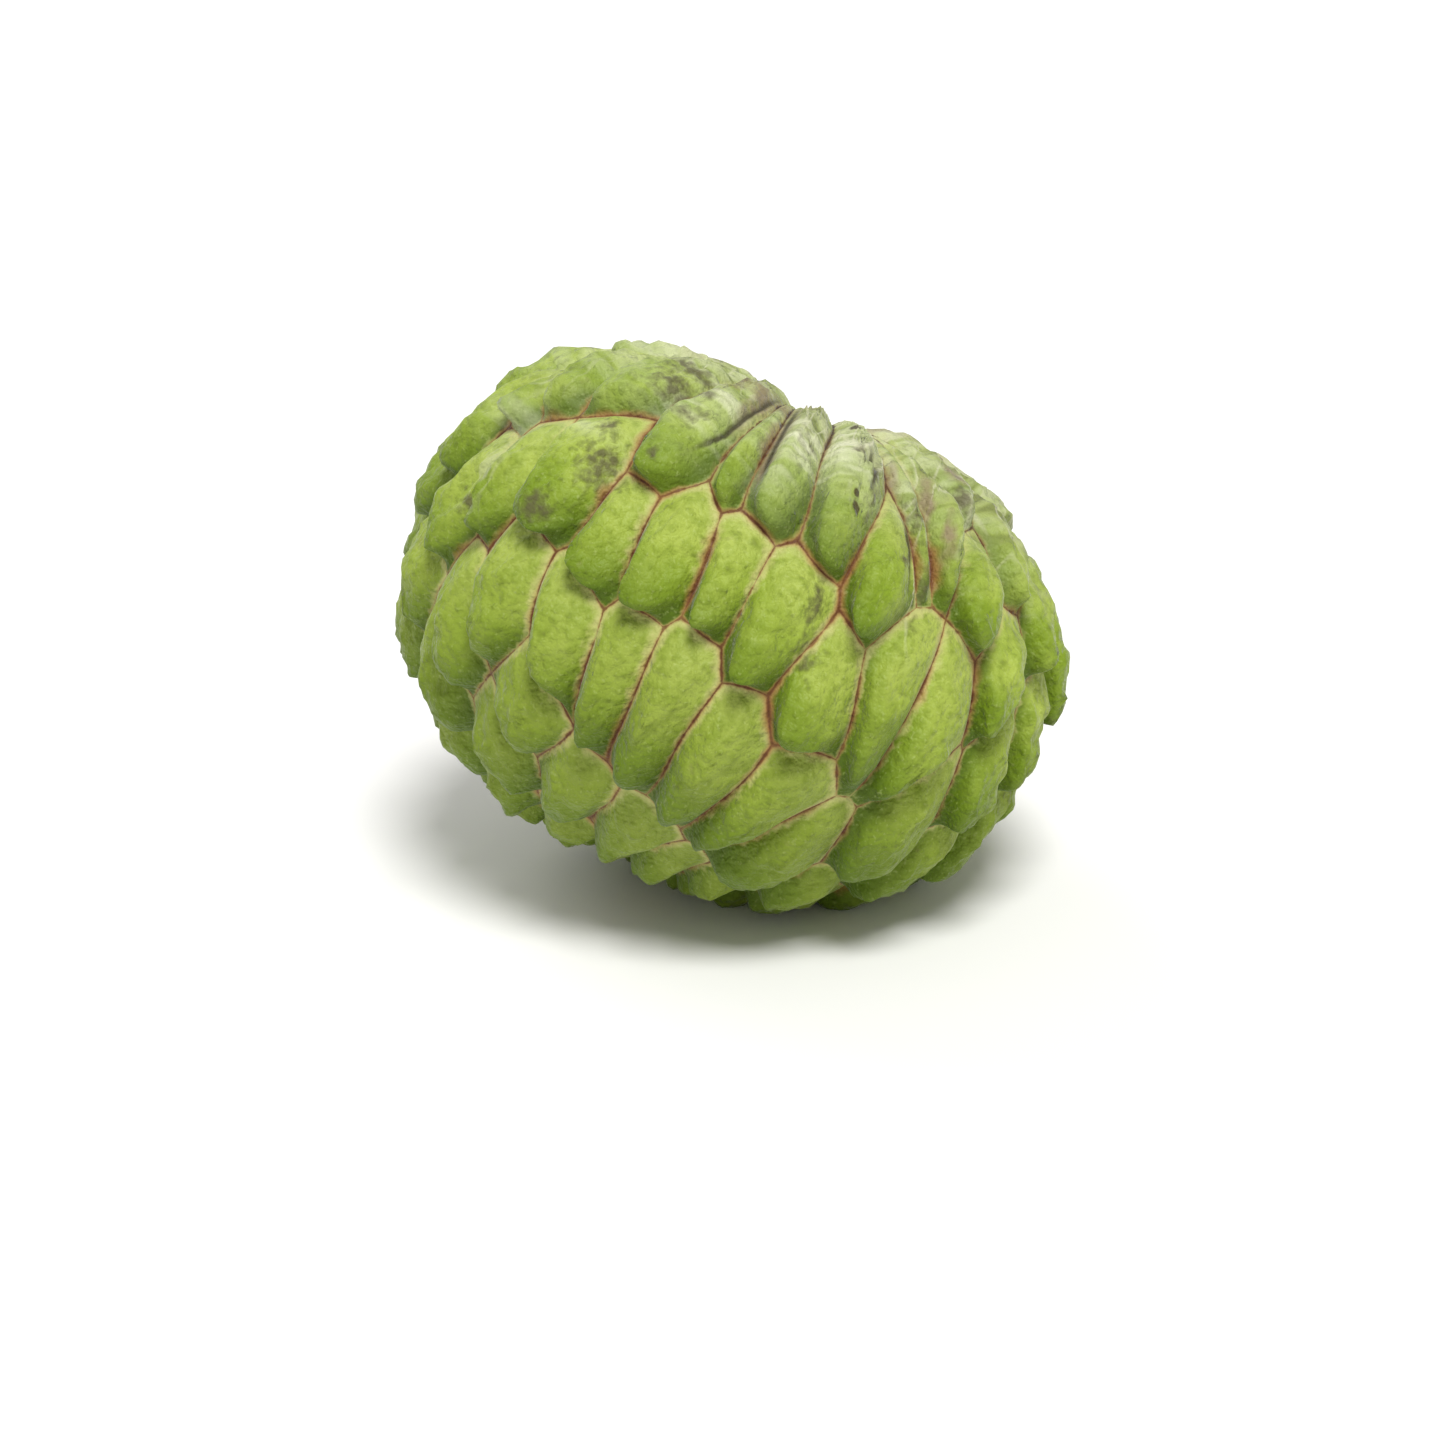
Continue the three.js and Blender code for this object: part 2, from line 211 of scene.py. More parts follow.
STEM_EDGE = LENGTH[np.argmax(RADIUS > SCAR_RADIUS)] / OUTLINE_LENGTH
TIP_EDGE = LENGTH[PROFILE_STEPS - np.argmax(RADIUS[::-1] > TIP_RADIUS)] / OUTLINE_LENGTH


# ---- the skin laid flat --------------------------------------------------------------------
# x is the turn round the axis in radians. y grows from the stem to the tip so that a scale of
# natural proportions is as wide as it is high. Scales are longest beside the stem pit.

def lengthening(s):
    stem = 1 - smooth(STEM_LENGTHENING["full"], STEM_LENGTHENING["none"], s)
    tip = smooth(TIP_SHORTENING["none"], TIP_SHORTENING["full"], s)
    return SCALE_LENGTHENING + STEM_LENGTHENING["extra"] * stem - TIP_SHORTENING["less"] * tip


def running_sum(places, density):
    steps = (density[1:] + density[:-1]) / 2 * np.diff(places)
    return np.concatenate(([0], np.cumsum(steps)))


FLAT_PLACES = np.linspace(STEM_EDGE, TIP_EDGE, FLAT_STEPS + 1)
FLAT = running_sum(FLAT_PLACES, OUTLINE_LENGTH / (radius_at(FLAT_PLACES) * lengthening(FLAT_PLACES)))
FLAT_HEIGHT = FLAT[-1]


def flat_y(s):
    return np.interp(s, FLAT_PLACES, FLAT)


def place_of_y(y):
    return np.interp(y, FLAT, FLAT_PLACES)


def wrap(x):
    return x - TURN * np.floor((x + math.pi) / TURN)


# ---- scale centres -------------------------------------------------------------------------

def scatter(n):
    """A repeatable value from -1 to 1 for a whole number."""
    v = math.sin(n * 12.9898 + 4.1414) * 43758.5453
    return 2 * (v - math.floor(v)) - 1


def spiral_centres(front):
    places = np.linspace(SPIRAL_START, SPIRAL_END, FLAT_STEPS + 1)
    areas = running_sum(places, radius_at(places))
    centres = []
    for k in range(SPIRAL_SCALES):
        s = float(np.interp((k + 0.5) / SPIRAL_SCALES * areas[-1], areas, places))
        x = wrap(k * SPIRAL_STEP + SPIRAL_JITTER * scatter(k + DRAWS["turn"]))
        y = flat_y(s) + SPIRAL_JITTER * scatter(k + DRAWS["place"])
        near = any(math.hypot(wrap(c[0] - x), c[1] - y) < SPIRAL_CLEAR for c in front)
        patch = FRONT_PATCH["from"] < math.degrees(x) < FRONT_PATCH["to"] and s < FRONT_PATCH["below"]
        if not near and not patch:
            centres.append([x, y, SIZE_JITTER * scatter(k + DRAWS["size"])])
    return centres


def clip(polygon, nx, ny, limit):
    """Keeps the side of a polygon where nx * x + ny * y <= limit."""
    kept = []
    for p, q in zip(polygon, polygon[1:] + polygon[:1]):
        dp = nx * p[0] + ny * p[1] - limit
        dq = nx * q[0] + ny * q[1] - limit
        if dp <= 0:
            kept.append(p)
        if dp * dq < 0:
            f = dp / (dp - dq)
            kept.append((p[0] + f * (q[0] - p[0]), p[1] + f * (q[1] - p[1])))
    return kept


# how far away on the flat skin another scale may still cut off part of this one
REACH = 2


def scale_outline(index, centres):
    """The polygon of the flat skin that is nearer to one centre than to any other."""
    x, y, extra = centres[index]
    polygon = [(x - REACH, 0), (x + REACH, 0), (x + REACH, FLAT_HEIGHT), (x - REACH, FLAT_HEIGHT)]
    across = wrap(centres[:, 0] - x)
    down = centres[:, 1] - y
    far = np.hypot(across, down)
    for other in np.argsort(far):
        if other == index or far[other] > REACH:
            continue
        dx, dy = across[other], down[other]
        limit = dx * (x + dx / 2) + dy * (y + dy / 2) + (extra - centres[other, 2]) / 2
        polygon = clip(polygon, dx, dy, limit)
    return polygon


def centroid(points):
    p = np.asarray(points)
    q = np.roll(p, -1, axis=0)
    cross = p[:, 0] * q[:, 1] - q[:, 0] * p[:, 1]
    return ((p + q) * cross[:, None]).sum(axis=0) / (3 * cross.sum())


def scale_centres():
    front = [[math.radians(turn), flat_y(place), extra] for turn, place, extra in FRONT_SCALES]
    centres = np.array(front + spiral_centres(front))
    for _ in range(RELAX_ROUNDS):
        middles = [centroid(scale_outline(i, centres)) for i in range(len(centres))]
        centres[len(front):, :2] = middles[len(front):]
    return centres


# ---- the net of scales ---------------------------------------------------------------------

def seam_point(x, y):
    """A point of a seam, moved a little so that seams wander as grown ones do."""
    aside = math.sin(7 * x + 12 * y) + 0.7 * math.sin(15 * x - 19 * y + 1)
    down = math.sin(8 * x - 13 * y + 2) + 0.7 * math.sin(17 * x + 16 * y)
    return x + SEAM_WANDER * aside, float(place_of_y(y + SEAM_WANDER * down))


def skin_frame(x, s):
    """Points of the body at turns x and places s, with the directions outwards and to the tip."""
    before, after = s - SLOPE_STEP, s + SLOPE_STEP
    dr = radius_at(after) - radius_at(before)
    dz = height_at(after) - height_at(before)
    size = np.hypot(dr, dz)
    dr, dz = dr / size, dz / size
    side, face = np.sin(x), -np.cos(x)
    point = np.stack([radius_at(s) * side, radius_at(s) * face, height_at(s)], axis=-1)
    out = np.stack([-dz * side, -dz * face, dr], axis=-1)
    toward = np.stack([dr * side, dr * face, dz], axis=-1)
    return point, out, toward


class Net:
    """The body's points at turn x and place s, with what each point knows of its scale."""

    def __init__(self):
        self.turn, self.place, self.crown, self.edge = [], [], [], []
        self.along, self.roundness, self.tint = [], [], []
        self.faces = []
        self.corners = []
        self.seams = {}
        self.uses = {}

    def add(self, turn, place, crown=0.0, edge=0.0, along=0.5, roundness=0.0, tint=0.5):
        first = len(self.turn)
        columns = (self.turn, self.place, self.crown, self.edge, self.along, self.roundness, self.tint)
        for column, value in zip(columns, (turn, place, crown, edge, along, roundness, tint)):
            column.extend(np.broadcast_to(value, np.size(turn)).tolist())
        return list(range(first, len(self.turn)))

    def corner(self, x, y):
        for made in self.corners:
            if math.hypot(wrap(made[0] - x), made[1] - y) < CORNER_JOIN:
                return made
        turn, place = seam_point(x, y)
        made = (x, y, len(self.corners), self.add(turn, place)[0])
        self.corners.append(made)
        return made

    def side(self, a, b):
        """The points from corner a to corner b, made once and shared by both scales."""
        forward = a[2] < b[2]
        start, end = (a, b) if forward else (b, a)
        name = (start[2], end[2])
        if name not in self.seams:
            ends, _, _ = skin_frame(np.array([self.turn[start[3]], self.turn[end[3]]]),
                                    np.array([self.place[start[3]], self.place[end[3]]]))
            parts = max(1, round(float(np.linalg.norm(ends[0] - ends[1])) / SEAM_STEP))
            steps = [start[3]]
            for i in range(1, parts):
                x = start[0] + wrap(end[0] - start[0]) * i / parts
                y = start[1] + (end[1] - start[1]) * i / parts
                steps += self.add(*seam_point(x, y))
            self.seams[name] = steps + [end[3]]
            self.uses[name] = []
        steps = self.seams[name] if forward else self.seams[name][::-1]
        self.uses[name].append(steps)
        return steps

    def add_scale(self, polygon, tint):
        corners = [self.corner(*p) for p in polygon]
        corners = [c for i, c in enumerate(corners) if c is not corners[i - 1]]
        sides = [self.side(c, d) for c, d in zip(corners, corners[1:] + corners[:1])]
        scale = Scale(self, sides)
        outer = [p for side in sides for p in side[:-1]]
        for size in RINGS:
            count = max(FEWEST_RING_POINTS, round(len(scale.edge) * size))
            inner = self.add(*scale.ring(size, count), tint)
            self.join(outer, inner)
            outer = inner
        middle = self.add(*scale.ring(0, 1), tint)[0]
        for a, b in zip(outer, outer[1:] + outer[:1]):
            self.faces.append((b, a, middle))

    def join(self, outer, inner):
        """Triangles between two rings that start at the same bearing, with any point counts."""
        i = j = 0
        while i < len(outer) or j < len(inner):
            a, b = outer[i % len(outer)], inner[j % len(inner)]
            if (i + 1) * len(inner) <= (j + 1) * len(outer) and i < len(outer) or j == len(inner):
                i += 1
                self.faces.append((outer[i % len(outer)], a, b))
            else:
                j += 1
                self.faces.append((a, b, inner[j % len(inner)]))

    def close_ends(self):
        """Fills the rings of sides that only one scale uses, at the stem scar and at the tip."""
        stem = self.add(0, 0)[0]
        tip = self.add(0, 1)[0]
        for uses in self.uses.values():
            if len(uses) == 1:
                steps = uses[0]
                middle = stem if self.place[steps[0]] < 0.5 else tip
                for a, b in zip(steps, steps[1:]):
                    self.faces.append((a, b, middle))
        return stem, tip


# the way a scale leans in its own flat millimetres: to the tip and a little to the left
SCALE_AXIS = np.array([-math.sin(SCALE_SLANT), math.cos(SCALE_SLANT)])


class Scale:
    """One scale, in its own flat millimetres: x across, and y growing towards the tip."""

    def __init__(self, net, sides):
        start = net.turn[sides[0][0]]
        turns = [wrap(net.turn[p] - start) for side in sides for p in side]
        self.turn = start + (min(turns) + max(turns)) / 2
        flat = []
        for side in sides:
            place = np.array([net.place[p] for p in side])
            across = wrap(np.array([net.turn[p] for p in side]) - self.turn) * radius_at(place)
            flat.append(np.stack([across, place * OUTLINE_LENGTH], axis=1))
        self.middle = centroid(np.concatenate([side[:-1] for side in flat]))
        self.sides = [side - self.middle for side in flat]
        self.edge = np.concatenate([side[:-1] for side in self.sides])
        self.spread = np.linalg.inv(2 * np.cov(self.edge.T))
        self.low = (self.edge @ SCALE_AXIS).min()
        self.high = (self.edge @ SCALE_AXIS).max()

    def rise(self, points, along, place):
        """How far points have risen from the seams, 0, to the crown, 1, and their distance in mm.

        Each side pulls the scale down within its own shoulder, so a scale is round where two meet.
        """
        shoulder = STEM_SIDE_SHOULDER + (TIP_SIDE_SHOULDER - STEM_SIDE_SHOULDER) * along
        from_pit = smooth(PIT_SHOULDER_START, PIT_SHOULDER_END, place)
        shoulder *= PIT_SIDE_SHOULDER + (1 - PIT_SIDE_SHOULDER) * from_pit
        crown = np.ones(len(points))
        edge = np.full(len(points), np.inf)
        for side in self.sides:
            a, step = side[:-1], np.diff(side, axis=0)
            gap = points[:, None] - a[None]
            f = np.clip((gap * step).sum(axis=2) / (step ** 2).sum(axis=1), 0, 1)
            nearest = np.linalg.norm(gap - f[..., None] * step, axis=2).min(axis=1)
            crown *= 1 - np.maximum(0, 1 - nearest / shoulder) ** 2
            edge = np.minimum(edge, nearest)
        return crown, edge

    def ring(self, size, count):
        """A smaller copy of the edge: turn, place, crown, distance from the seams, place along.

        The last value is 1 in the middle of the scale's ellipse and falls to 0 in the corners outside.
        """
        at = np.arange(count) * len(self.edge) / count
        closed = np.concatenate([self.edge, self.edge[:1]])
        steps = np.arange(len(closed))
        points = size * np.stack([np.interp(at, steps, closed[:, i]) for i in (0, 1)], axis=1)
        place = (points[:, 1] + self.middle[1]) / OUTLINE_LENGTH
        turn = self.turn + (points[:, 0] + self.middle[0]) / radius_at(place)
        along = (points @ SCALE_AXIS - self.low) / (self.high - self.low)
        ellipse = np.sqrt(((points @ self.spread) * points).sum(axis=1))
        outwards = np.clip((ellipse - ROUND_INSIDE) / (ROUND_OUTSIDE - ROUND_INSIDE), 0, 1)
        roundness = 1 - outwards ** 2
        return turn, place, *self.rise(points, along, place), along, roundness


# ---- marks on the skin ---------------------------------------------------------------------

# Each spot: turn in degrees, place, half width across and half length along in mm, strength.
MARKS = {
    "soot": [
        (-31.7, 0.30, 3.4, 2.6, 0.9), (-34.0, 0.26, 4.5, 1.6, 0.9), (-35.9, 0.378, 1.3, 1.2, 1.0),
        (-31.7, 0.42, 3.4, 3.5, 0.9), (-38.1, 0.484, 2.0, 2.0, 0.9), (-22.9, 0.398, 0.9, 0.8, 1.0),
        (-21.9, 0.34, 2.2, 1.5, 0.8), (-57.0, 0.50, 2.5, 1.5, 0.9), (11.5, 0.294, 1.0, 0.8, 1.0),
        (12.2, 0.464, 1.0, 3.6, 0.8), (14.0, 0.512, 2.0, 3.0, 0.7), (24.7, 0.387, 0.9, 0.9, 1.0),
        (41.1, 0.278, 1.5, 1.5, 1.0), (30.7, 0.41, 1.2, 4.0, 0.7), (1.0, 0.31, 2.0, 3.0, 0.5),
        (120, 0.40, 5.0, 4.0, 0.9), (165, 0.30, 4.0, 5.0, 0.8), (-140, 0.45, 5.0, 5.0, 0.9),
        (-110, 0.30, 4.0, 5.0, 0.7), (85, 0.52, 4.0, 6.0, 0.7), (-170, 0.60, 6.0, 5.0, 0.6),
        (-24.3, 0.306, 2.6, 1.2, 1.0), (16.0, 0.33, 1.0, 5.0, 0.7), (26.5, 0.33, 1.6, 2.0, 0.8),
    ],
    "cork": [
        (-5.3, 0.345, 0.9, 3.0, 1.0), (-6.2, 0.29, 1.3, 6.0, 1.0), (-14.0, 0.25, 1.8, 5.0, 1.0),
        (-22.3, 0.25, 2.2, 3.0, 0.9), (21.8, 0.289, 0.9, 3.0, 0.9), (30.0, 0.304, 0.7, 5.0, 1.0),
        (33.5, 0.34, 0.6, 4.0, 0.9), (50.0, 0.20, 2.0, 4.0, 0.7), (100, 0.25, 1.5, 4.0, 0.8),
        (-150, 0.22, 2.0, 4.0, 0.7), (-14.3, 0.296, 1.2, 4.0, 0.8), (-9.0, 0.22, 3.0, 3.0, 0.9),
        (43.0, 0.24, 1.6, 2.2, 1.0),
    ],
    "rust": [
        (-42.7, 0.355, 7.0, 2.5, 1.0), (-29.0, 0.35, 2.6, 7.0, 1.0), (-22.0, 0.42, 4.5, 2.0, 1.0),
        (3.0, 0.405, 4.5, 1.6, 0.7), (9.0, 0.425, 2.6, 2.4, 0.9), (16.0, 0.44, 3.0, 5.0, 1.0),
        (140, 0.50, 5.0, 5.0, 0.9), (-100, 0.55, 6.0, 4.0, 0.8), (90, 0.62, 4.0, 6.0, 0.8),
    ],
    "powder": [
        (8.0, 0.285, 6.0, 7.5, 1.0), (-1.0, 0.3, 4.5, 7.0, 1.0), (-42.0, 0.385, 5.0, 1.5, 0.4),
        (-20.0, 0.31, 6.0, 5.0, 0.8), (-60.0, 0.40, 6.0, 3.0, 0.35), (24.7, 0.31, 2.0, 4.0, 0.6),
        (160, 0.24, 8.0, 6.0, 0.8), (-110, 0.26, 7.0, 6.0, 0.7), (110, 0.36, 5.0, 6.0, 0.6),
    ],
    "wrinkled": [
        (15.5, 0.28, 4.0, 7.0, 1.0), (30, 0.29, 6.0, 9.0, 0.6), (50, 0.25, 9.0, 9.0, 0.7),
        (78, 0.27, 11.0, 10.0, 0.45), (28, 0.40, 2.5, 6.0, 0.8), (-32, 0.22, 7.0, 5.0, 0.6),
        (-62, 0.32, 6.0, 5.0, 0.4), (135, 0.25, 10.0, 8.0, 0.7), (-145, 0.27, 9.0, 7.0, 0.6),
        (-56, 0.46, 3.0, 5.0, 0.5), (1, 0.25, 4.0, 6.0, 0.7), (-14, 0.26, 3.0, 5.0, 0.5),
    ],
}

# Scabs with a crisp outline: turn in degrees, place, half width across and half length along in mm.
SCABS = [
    (11.9, 0.352, 0.45, 0.6), (12.5, 0.367, 0.7, 1.2), (67.1, 0.188, 0.9, 2.2), (10.9, 0.235, 0.7, 1.0),
    (150, 0.35, 1.2, 2.0), (-130, 0.50, 1.6, 1.0), (95, 0.34, 0.9, 1.6), (-95, 0.42, 0.7, 1.1),
]

# Furrows run along these points: turn in degrees, place.
FURROWS = [
    [(-19.0, 0.385), (-15.4, 0.335), (-13.5, 0.26), (-13.0, 0.17)],
    [(-4.2, 0.375), (-5.0, 0.34), (-5.4, 0.27), (-6.0, 0.18)],
    [(14.0, 0.275), (15.5, 0.31), (15.0, 0.34)],
    [(25.0, 0.33), (27.0, 0.37), (27.5, 0.42)],
    [(128, 0.21), (131, 0.27), (129, 0.33)],
    [(-158, 0.2), (-154, 0.26), (-155, 0.31)],
    [(-88, 0.22), (-84, 0.28), (-83, 0.32)],
]


# a spot is half as strong at its half widths, and a furrow is shallower in this part of each end
SPOT_FALL = 0.7
FURROW_END = 0.25


def marks(turn, place, spots):
    """How strongly the spots mark each point, from 0 to 1."""
    total = np.zeros(len(turn))
    for degrees, middle, width, length, strength in spots:
        across = wrap(turn - math.radians(degrees)) * radius_at(place) / width
        along = (place - middle) * OUTLINE_LENGTH / length
        total = np.maximum(total, strength * np.exp(-SPOT_FALL * (across ** 2 + along ** 2)))
    return total


def furrows(turn, place):
    """How far each point lies aside from the nearest furrow, in mm, and how strong it is there."""
    aside = np.full(len(turn), FURROW_REACH)
    strength = np.zeros(len(turn))
    for line in FURROWS:
        parts = len(line) - 1
        for i, ((turn_a, place_a), (turn_b, place_b)) in enumerate(zip(line, line[1:])):
            radius = radius_at((place_a + place_b) / 2)
            x = wrap(turn - math.radians(turn_a)) * radius
            y = (place - place_a) * OUTLINE_LENGTH
            dx = math.radians(turn_b - turn_a) * radius
            dy = (place_b - place_a) * OUTLINE_LENGTH
            f = np.clip((x * dx + y * dy) / (dx ** 2 + dy ** 2), 0, 1)
            gap = np.hypot(x - f * dx, y - f * dy)
            nearer = gap < np.abs(aside)
            aside = np.where(nearer, np.copysign(gap, x * dy - y * dx), aside)
            full = np.clip(np.minimum(i + f, parts - i - f) / (FURROW_END * parts), 0, 1)
            strength = np.where(nearer, full * smooth(FURROW_REACH, FURROW_REACH / 2, gap), strength)
    return aside, strength


# ---- the fruit's mesh ----------------------------------------------------------------------

def sagged(point):
    """The saddle that runs through the stem pit from front to back, and the lower right shoulder."""
    across, depth, height = point.T
    rightwards = np.maximum(0, across / EQUATOR_R)
    saddle = np.exp(-(across / SADDLE_WIDTH) ** 2 - (depth / SADDLE_LENGTH) ** 2)
    lowered = height * (1 - RIGHT_SHOULDER_DROP * rightwards ** 2) - SADDLE_DEPTH * saddle
    return np.stack([across, depth, np.where(height > 0, lowered, height)], axis=1)


def lay_down(vectors):
    """Leans vectors with the fruit: first to the right, then back."""
    right = np.array(Matrix.Rotation(LEAN_RIGHT, 3, "Y"))
    back = np.array(Matrix.Rotation(-LEAN_BACK, 3, "X"))
    return vectors @ (back @ right).T


def set_attribute(mesh, name, kind, values):
    attribute = mesh.attributes.new(name, kind, "POINT")
    key = "vector" if kind == "FLOAT_VECTOR" else "value"
    attribute.data.foreach_set(key, np.asarray(values, dtype=np.float32).ravel())


def net_of_scales():
    """The net over the whole body, with the numbers of its points at the stem and at the tip."""
    centres = scale_centres()
    net = Net()
    for i in range(len(centres)):
        net.add_scale(scale_outline(i, centres), 0.5 + 0.5 * scatter(i + DRAWS["tint"]))
    return net, *net.close_ends()


def rise_shares(net, place):
    """Each point's share of the full rise, and how far the rounded tip side takes it down again."""
    along = np.array(net.along)
    stem_side = STEM_SIDE_RISE + (1 - STEM_SIDE_RISE) * smooth(0, FULL_RISE_ALONG, along)
    pit_side = PIT_SIDE_RISE + (1 - PIT_SIDE_RISE) * smooth(0, PIT_SIDE_END, place)
    rounded = smooth(ROUND_FROM, ROUND_FULL, along) * smooth(ROUND_PLACE_FROM, ROUND_PLACE_FULL, place)
    fall = rounded * (1 - np.array(net.roundness))
    return np.array(net.crown) * stem_side * pit_side * (1 - fall), fall


def make_net():
    """The skin before it is raised, with what each point needs for its relief and its colour."""
    net, stem, tip = net_of_scales()
    turn, place = np.array(net.turn), np.array(net.place)
    point, out, toward = skin_frame(turn, place)
    point = sagged(point)
    point[stem] = (0, 0, height_at(STEM_EDGE) - SADDLE_DEPTH + SCAR_BULGE)
    point[tip] = (0, 0, height_at(TIP_EDGE) - TIP_BULGE)
    around = np.stack([np.cos(turn), np.sin(turn), np.zeros(len(turn))], axis=1)
    lean = SCALE_AXIS[1] * toward + SCALE_AXIS[0] * around
    share, fall = rise_shares(net, place)

    # patterns and marks go by where the skin is once it leans
    shift = share ** 2 * np.interp(place, OVERHANG_SHARES["places"], OVERHANG_SHARES["shares"])
    turn = turn + SCALE_AXIS[0] * OVERHANG * shift / np.maximum(radius_at(place), SCAR_RADIUS)
    place = place + SCALE_AXIS[1] * OVERHANG * shift / OUTLINE_LENGTH
    aside, furrow = furrows(turn, place)
    round_axis = EQUATOR_R * np.stack([np.sin(turn), -np.cos(turn)], axis=1)

    mesh = bpy.data.meshes.new("fruit_skin_net")
    laid = lay_down(point) + np.array(BODY_CENTRE)
    mesh.from_pydata((laid * MM).tolist(), [], net.faces)
    vectors = {
        "out": lay_down(out), "lean": lay_down(lean),
        "skin": np.column_stack([round_axis, place * OUTLINE_LENGTH]),
    }
    for name, values in vectors.items():
        set_attribute(mesh, name, "FLOAT_VECTOR", values)
    numbers = {
        "crown": net.crown, "share": share, "shift": shift, "fall": fall, "edge": net.edge,
        "along": net.along, "place": place, "tint": net.tint, "aside": aside, "furrow": furrow,
    }
    for name, spots in MARKS.items():
        numbers[name] = marks(turn, place, spots)
    for name, values in numbers.items():
        set_attribute(mesh, name, "FLOAT", values)
    return bpy.data.objects.new("custard_apple", mesh)


# ---- nodes ---------------------------------------------------------------------------------

def add(tree, kind, inputs=None, out=0, **settings):
    """Adds a node with its settings, values and links, and gives one of its outputs."""
    made = tree.nodes.new(kind)
    for name, value in settings.items():
        setattr(made, name, value)
    for key, value in (inputs or {}).items():
        if isinstance(value, bpy.types.NodeSocket):
            tree.links.new(value, made.inputs[key])
        else:
            made.inputs[key].default_value = value
    return made.outputs[out]


def skin_patterns(tree, skin, wrinkle_width, ridge_width, line):
    """Random wrinkles across the scales and a net of thin ridges along them, both from 0 to 1."""
    found = []
    for squeeze, width in ((WRINKLE_SQUEEZE, wrinkle_width), (RIDGE_SQUEEZE, ridge_width)):
        vector = add(tree, "ShaderNodeVectorMath", {0: skin, 1: squeeze}, operation="MULTIPLY")
        density = add(tree, "ShaderNodeMath", {0: 1.0, 1: width}, operation="DIVIDE")
        found.append(add(tree, "ShaderNodeTexNoise",
                         {"Vector": vector, "Scale": density, "Detail": 1.0, "Distortion": 0.6}))
    wrinkle = add(tree, "ShaderNodeMapRange", {"Value": found[0], 1: 0.3, 2: 0.7})
    from_line = add(tree, "ShaderNodeMath", {0: found[1], 1: 0.5}, operation="SUBTRACT")
    from_line = add(tree, "ShaderNodeMath", {0: from_line}, operation="ABSOLUTE")
    ridge = add(tree, "ShaderNodeMapRange", {"Value": from_line, 2: line, 3: 1.0, 4: 0.0},
                interpolation_type="SMOOTHSTEP")
    return wrinkle, ridge


# ---- relief --------------------------------------------------------------------------------

RELIEF_INPUTS = {
    "Scale Rise": SCALE_RISE * MM,
    "Dome Rise": DOME_RISE * MM,
    "Overhang": OVERHANG * MM,
    "Dent Depth": DENT_DEPTH * MM,
    "Dent Width": DENT_WIDTH * MM,
    "Wrinkle Depth": WRINKLE_DEPTH * MM,
    "Wrinkle Width (mm)": WRINKLE_WIDTH,
    "Ridge Height": RIDGE_HEIGHT * MM,
    "Ridge Width (mm)": RIDGE_WIDTH,
    "Furrow Depth": FURROW_DEPTH * MM,
}

NET_READINGS = {
    "FLOAT": ("crown", "share", "shift", "edge", "place", "wrinkled", "aside", "furrow"),
    "FLOAT_VECTOR": ("out", "lean", "skin"),
}


def empty_relief_tree():
    """A tree with the relief's named sizes as its inputs, and nothing in it yet."""
    tree = bpy.data.node_groups.new("raise fruit scales", "GeometryNodeTree")
    face = tree.interface
    face.new_socket("Geometry", in_out="INPUT", socket_type="NodeSocketGeometry")
    for name in RELIEF_INPUTS:
        face.new_socket(name, in_out="INPUT", socket_type="NodeSocketFloat")
    face.new_socket("Geometry", in_out="OUTPUT", socket_type="NodeSocketGeometry")
    return tree


def net_readings(tree):
    """What the net knows of each point, by the name of its attribute."""
    return SimpleNamespace(**{
        name: add(tree, "GeometryNodeInputNamedAttribute", {"Name": name}, data_type=kind)
        for kind, names in NET_READINGS.items()
        for name in names
    })


def raised_height(tree, given, net):
    """Each scale rises to its share, and domes a little more in its middle."""
    height = add(tree, "ShaderNodeMath", {0: net.share, 1: given["Scale Rise"]}, operation="MULTIPLY")
    dome = add(tree, "ShaderNodeMapRange", {"Value": net.edge, 2: DOME_REACH},
               interpolation_type="SMOOTHSTEP")
    for factor in (net.share, given["Dome Rise"]):
        dome = add(tree, "ShaderNodeMath", {0: dome, 1: factor}, operation="MULTIPLY")
    return add(tree, "ShaderNodeMath", {0: height, 1: dome}, operation="ADD")


def weathering(tree, net):
    """How strongly wrinkles and ridges show: wrinkles near the stem, and both in weathered spots."""
    near_stem = add(tree, "ShaderNodeMapRange",
                    {"Value": net.place, 1: WRINKLED_PLACES["full"], 2: WRINKLED_PLACES["least"],
                     3: WRINKLED_PLACES["share"], 4: WRINKLED_PLACES["least_share"]},
                    interpolation_type="SMOOTHSTEP")
    out_of_pit = add(tree, "ShaderNodeMapRange",
                     {"Value": net.place, 1: CALM_PLACES["calm"], 2: CALM_PLACES["full"],
                      3: CALM_PLACES["share"], 4: 1.0},
                     interpolation_type="SMOOTHSTEP")
    wrinkles = add(tree, "ShaderNodeMath", {0: near_stem, 1: net.wrinkled}, operation="MAXIMUM")
    wrinkles = add(tree, "ShaderNodeMath", {0: wrinkles, 1: out_of_pit}, operation="MULTIPLY")
    ridges = add(tree, "ShaderNodeMapRange",
                 {"Value": net.place, 1: RIDGED_PLACES["none"], 2: RIDGED_PLACES["full"]},
                 interpolation_type="SMOOTHSTEP")
    ridges = add(tree, "ShaderNodeMath", {0: ridges, 1: net.wrinkled}, operation="MULTIPLY")
    return wrinkles, ridges


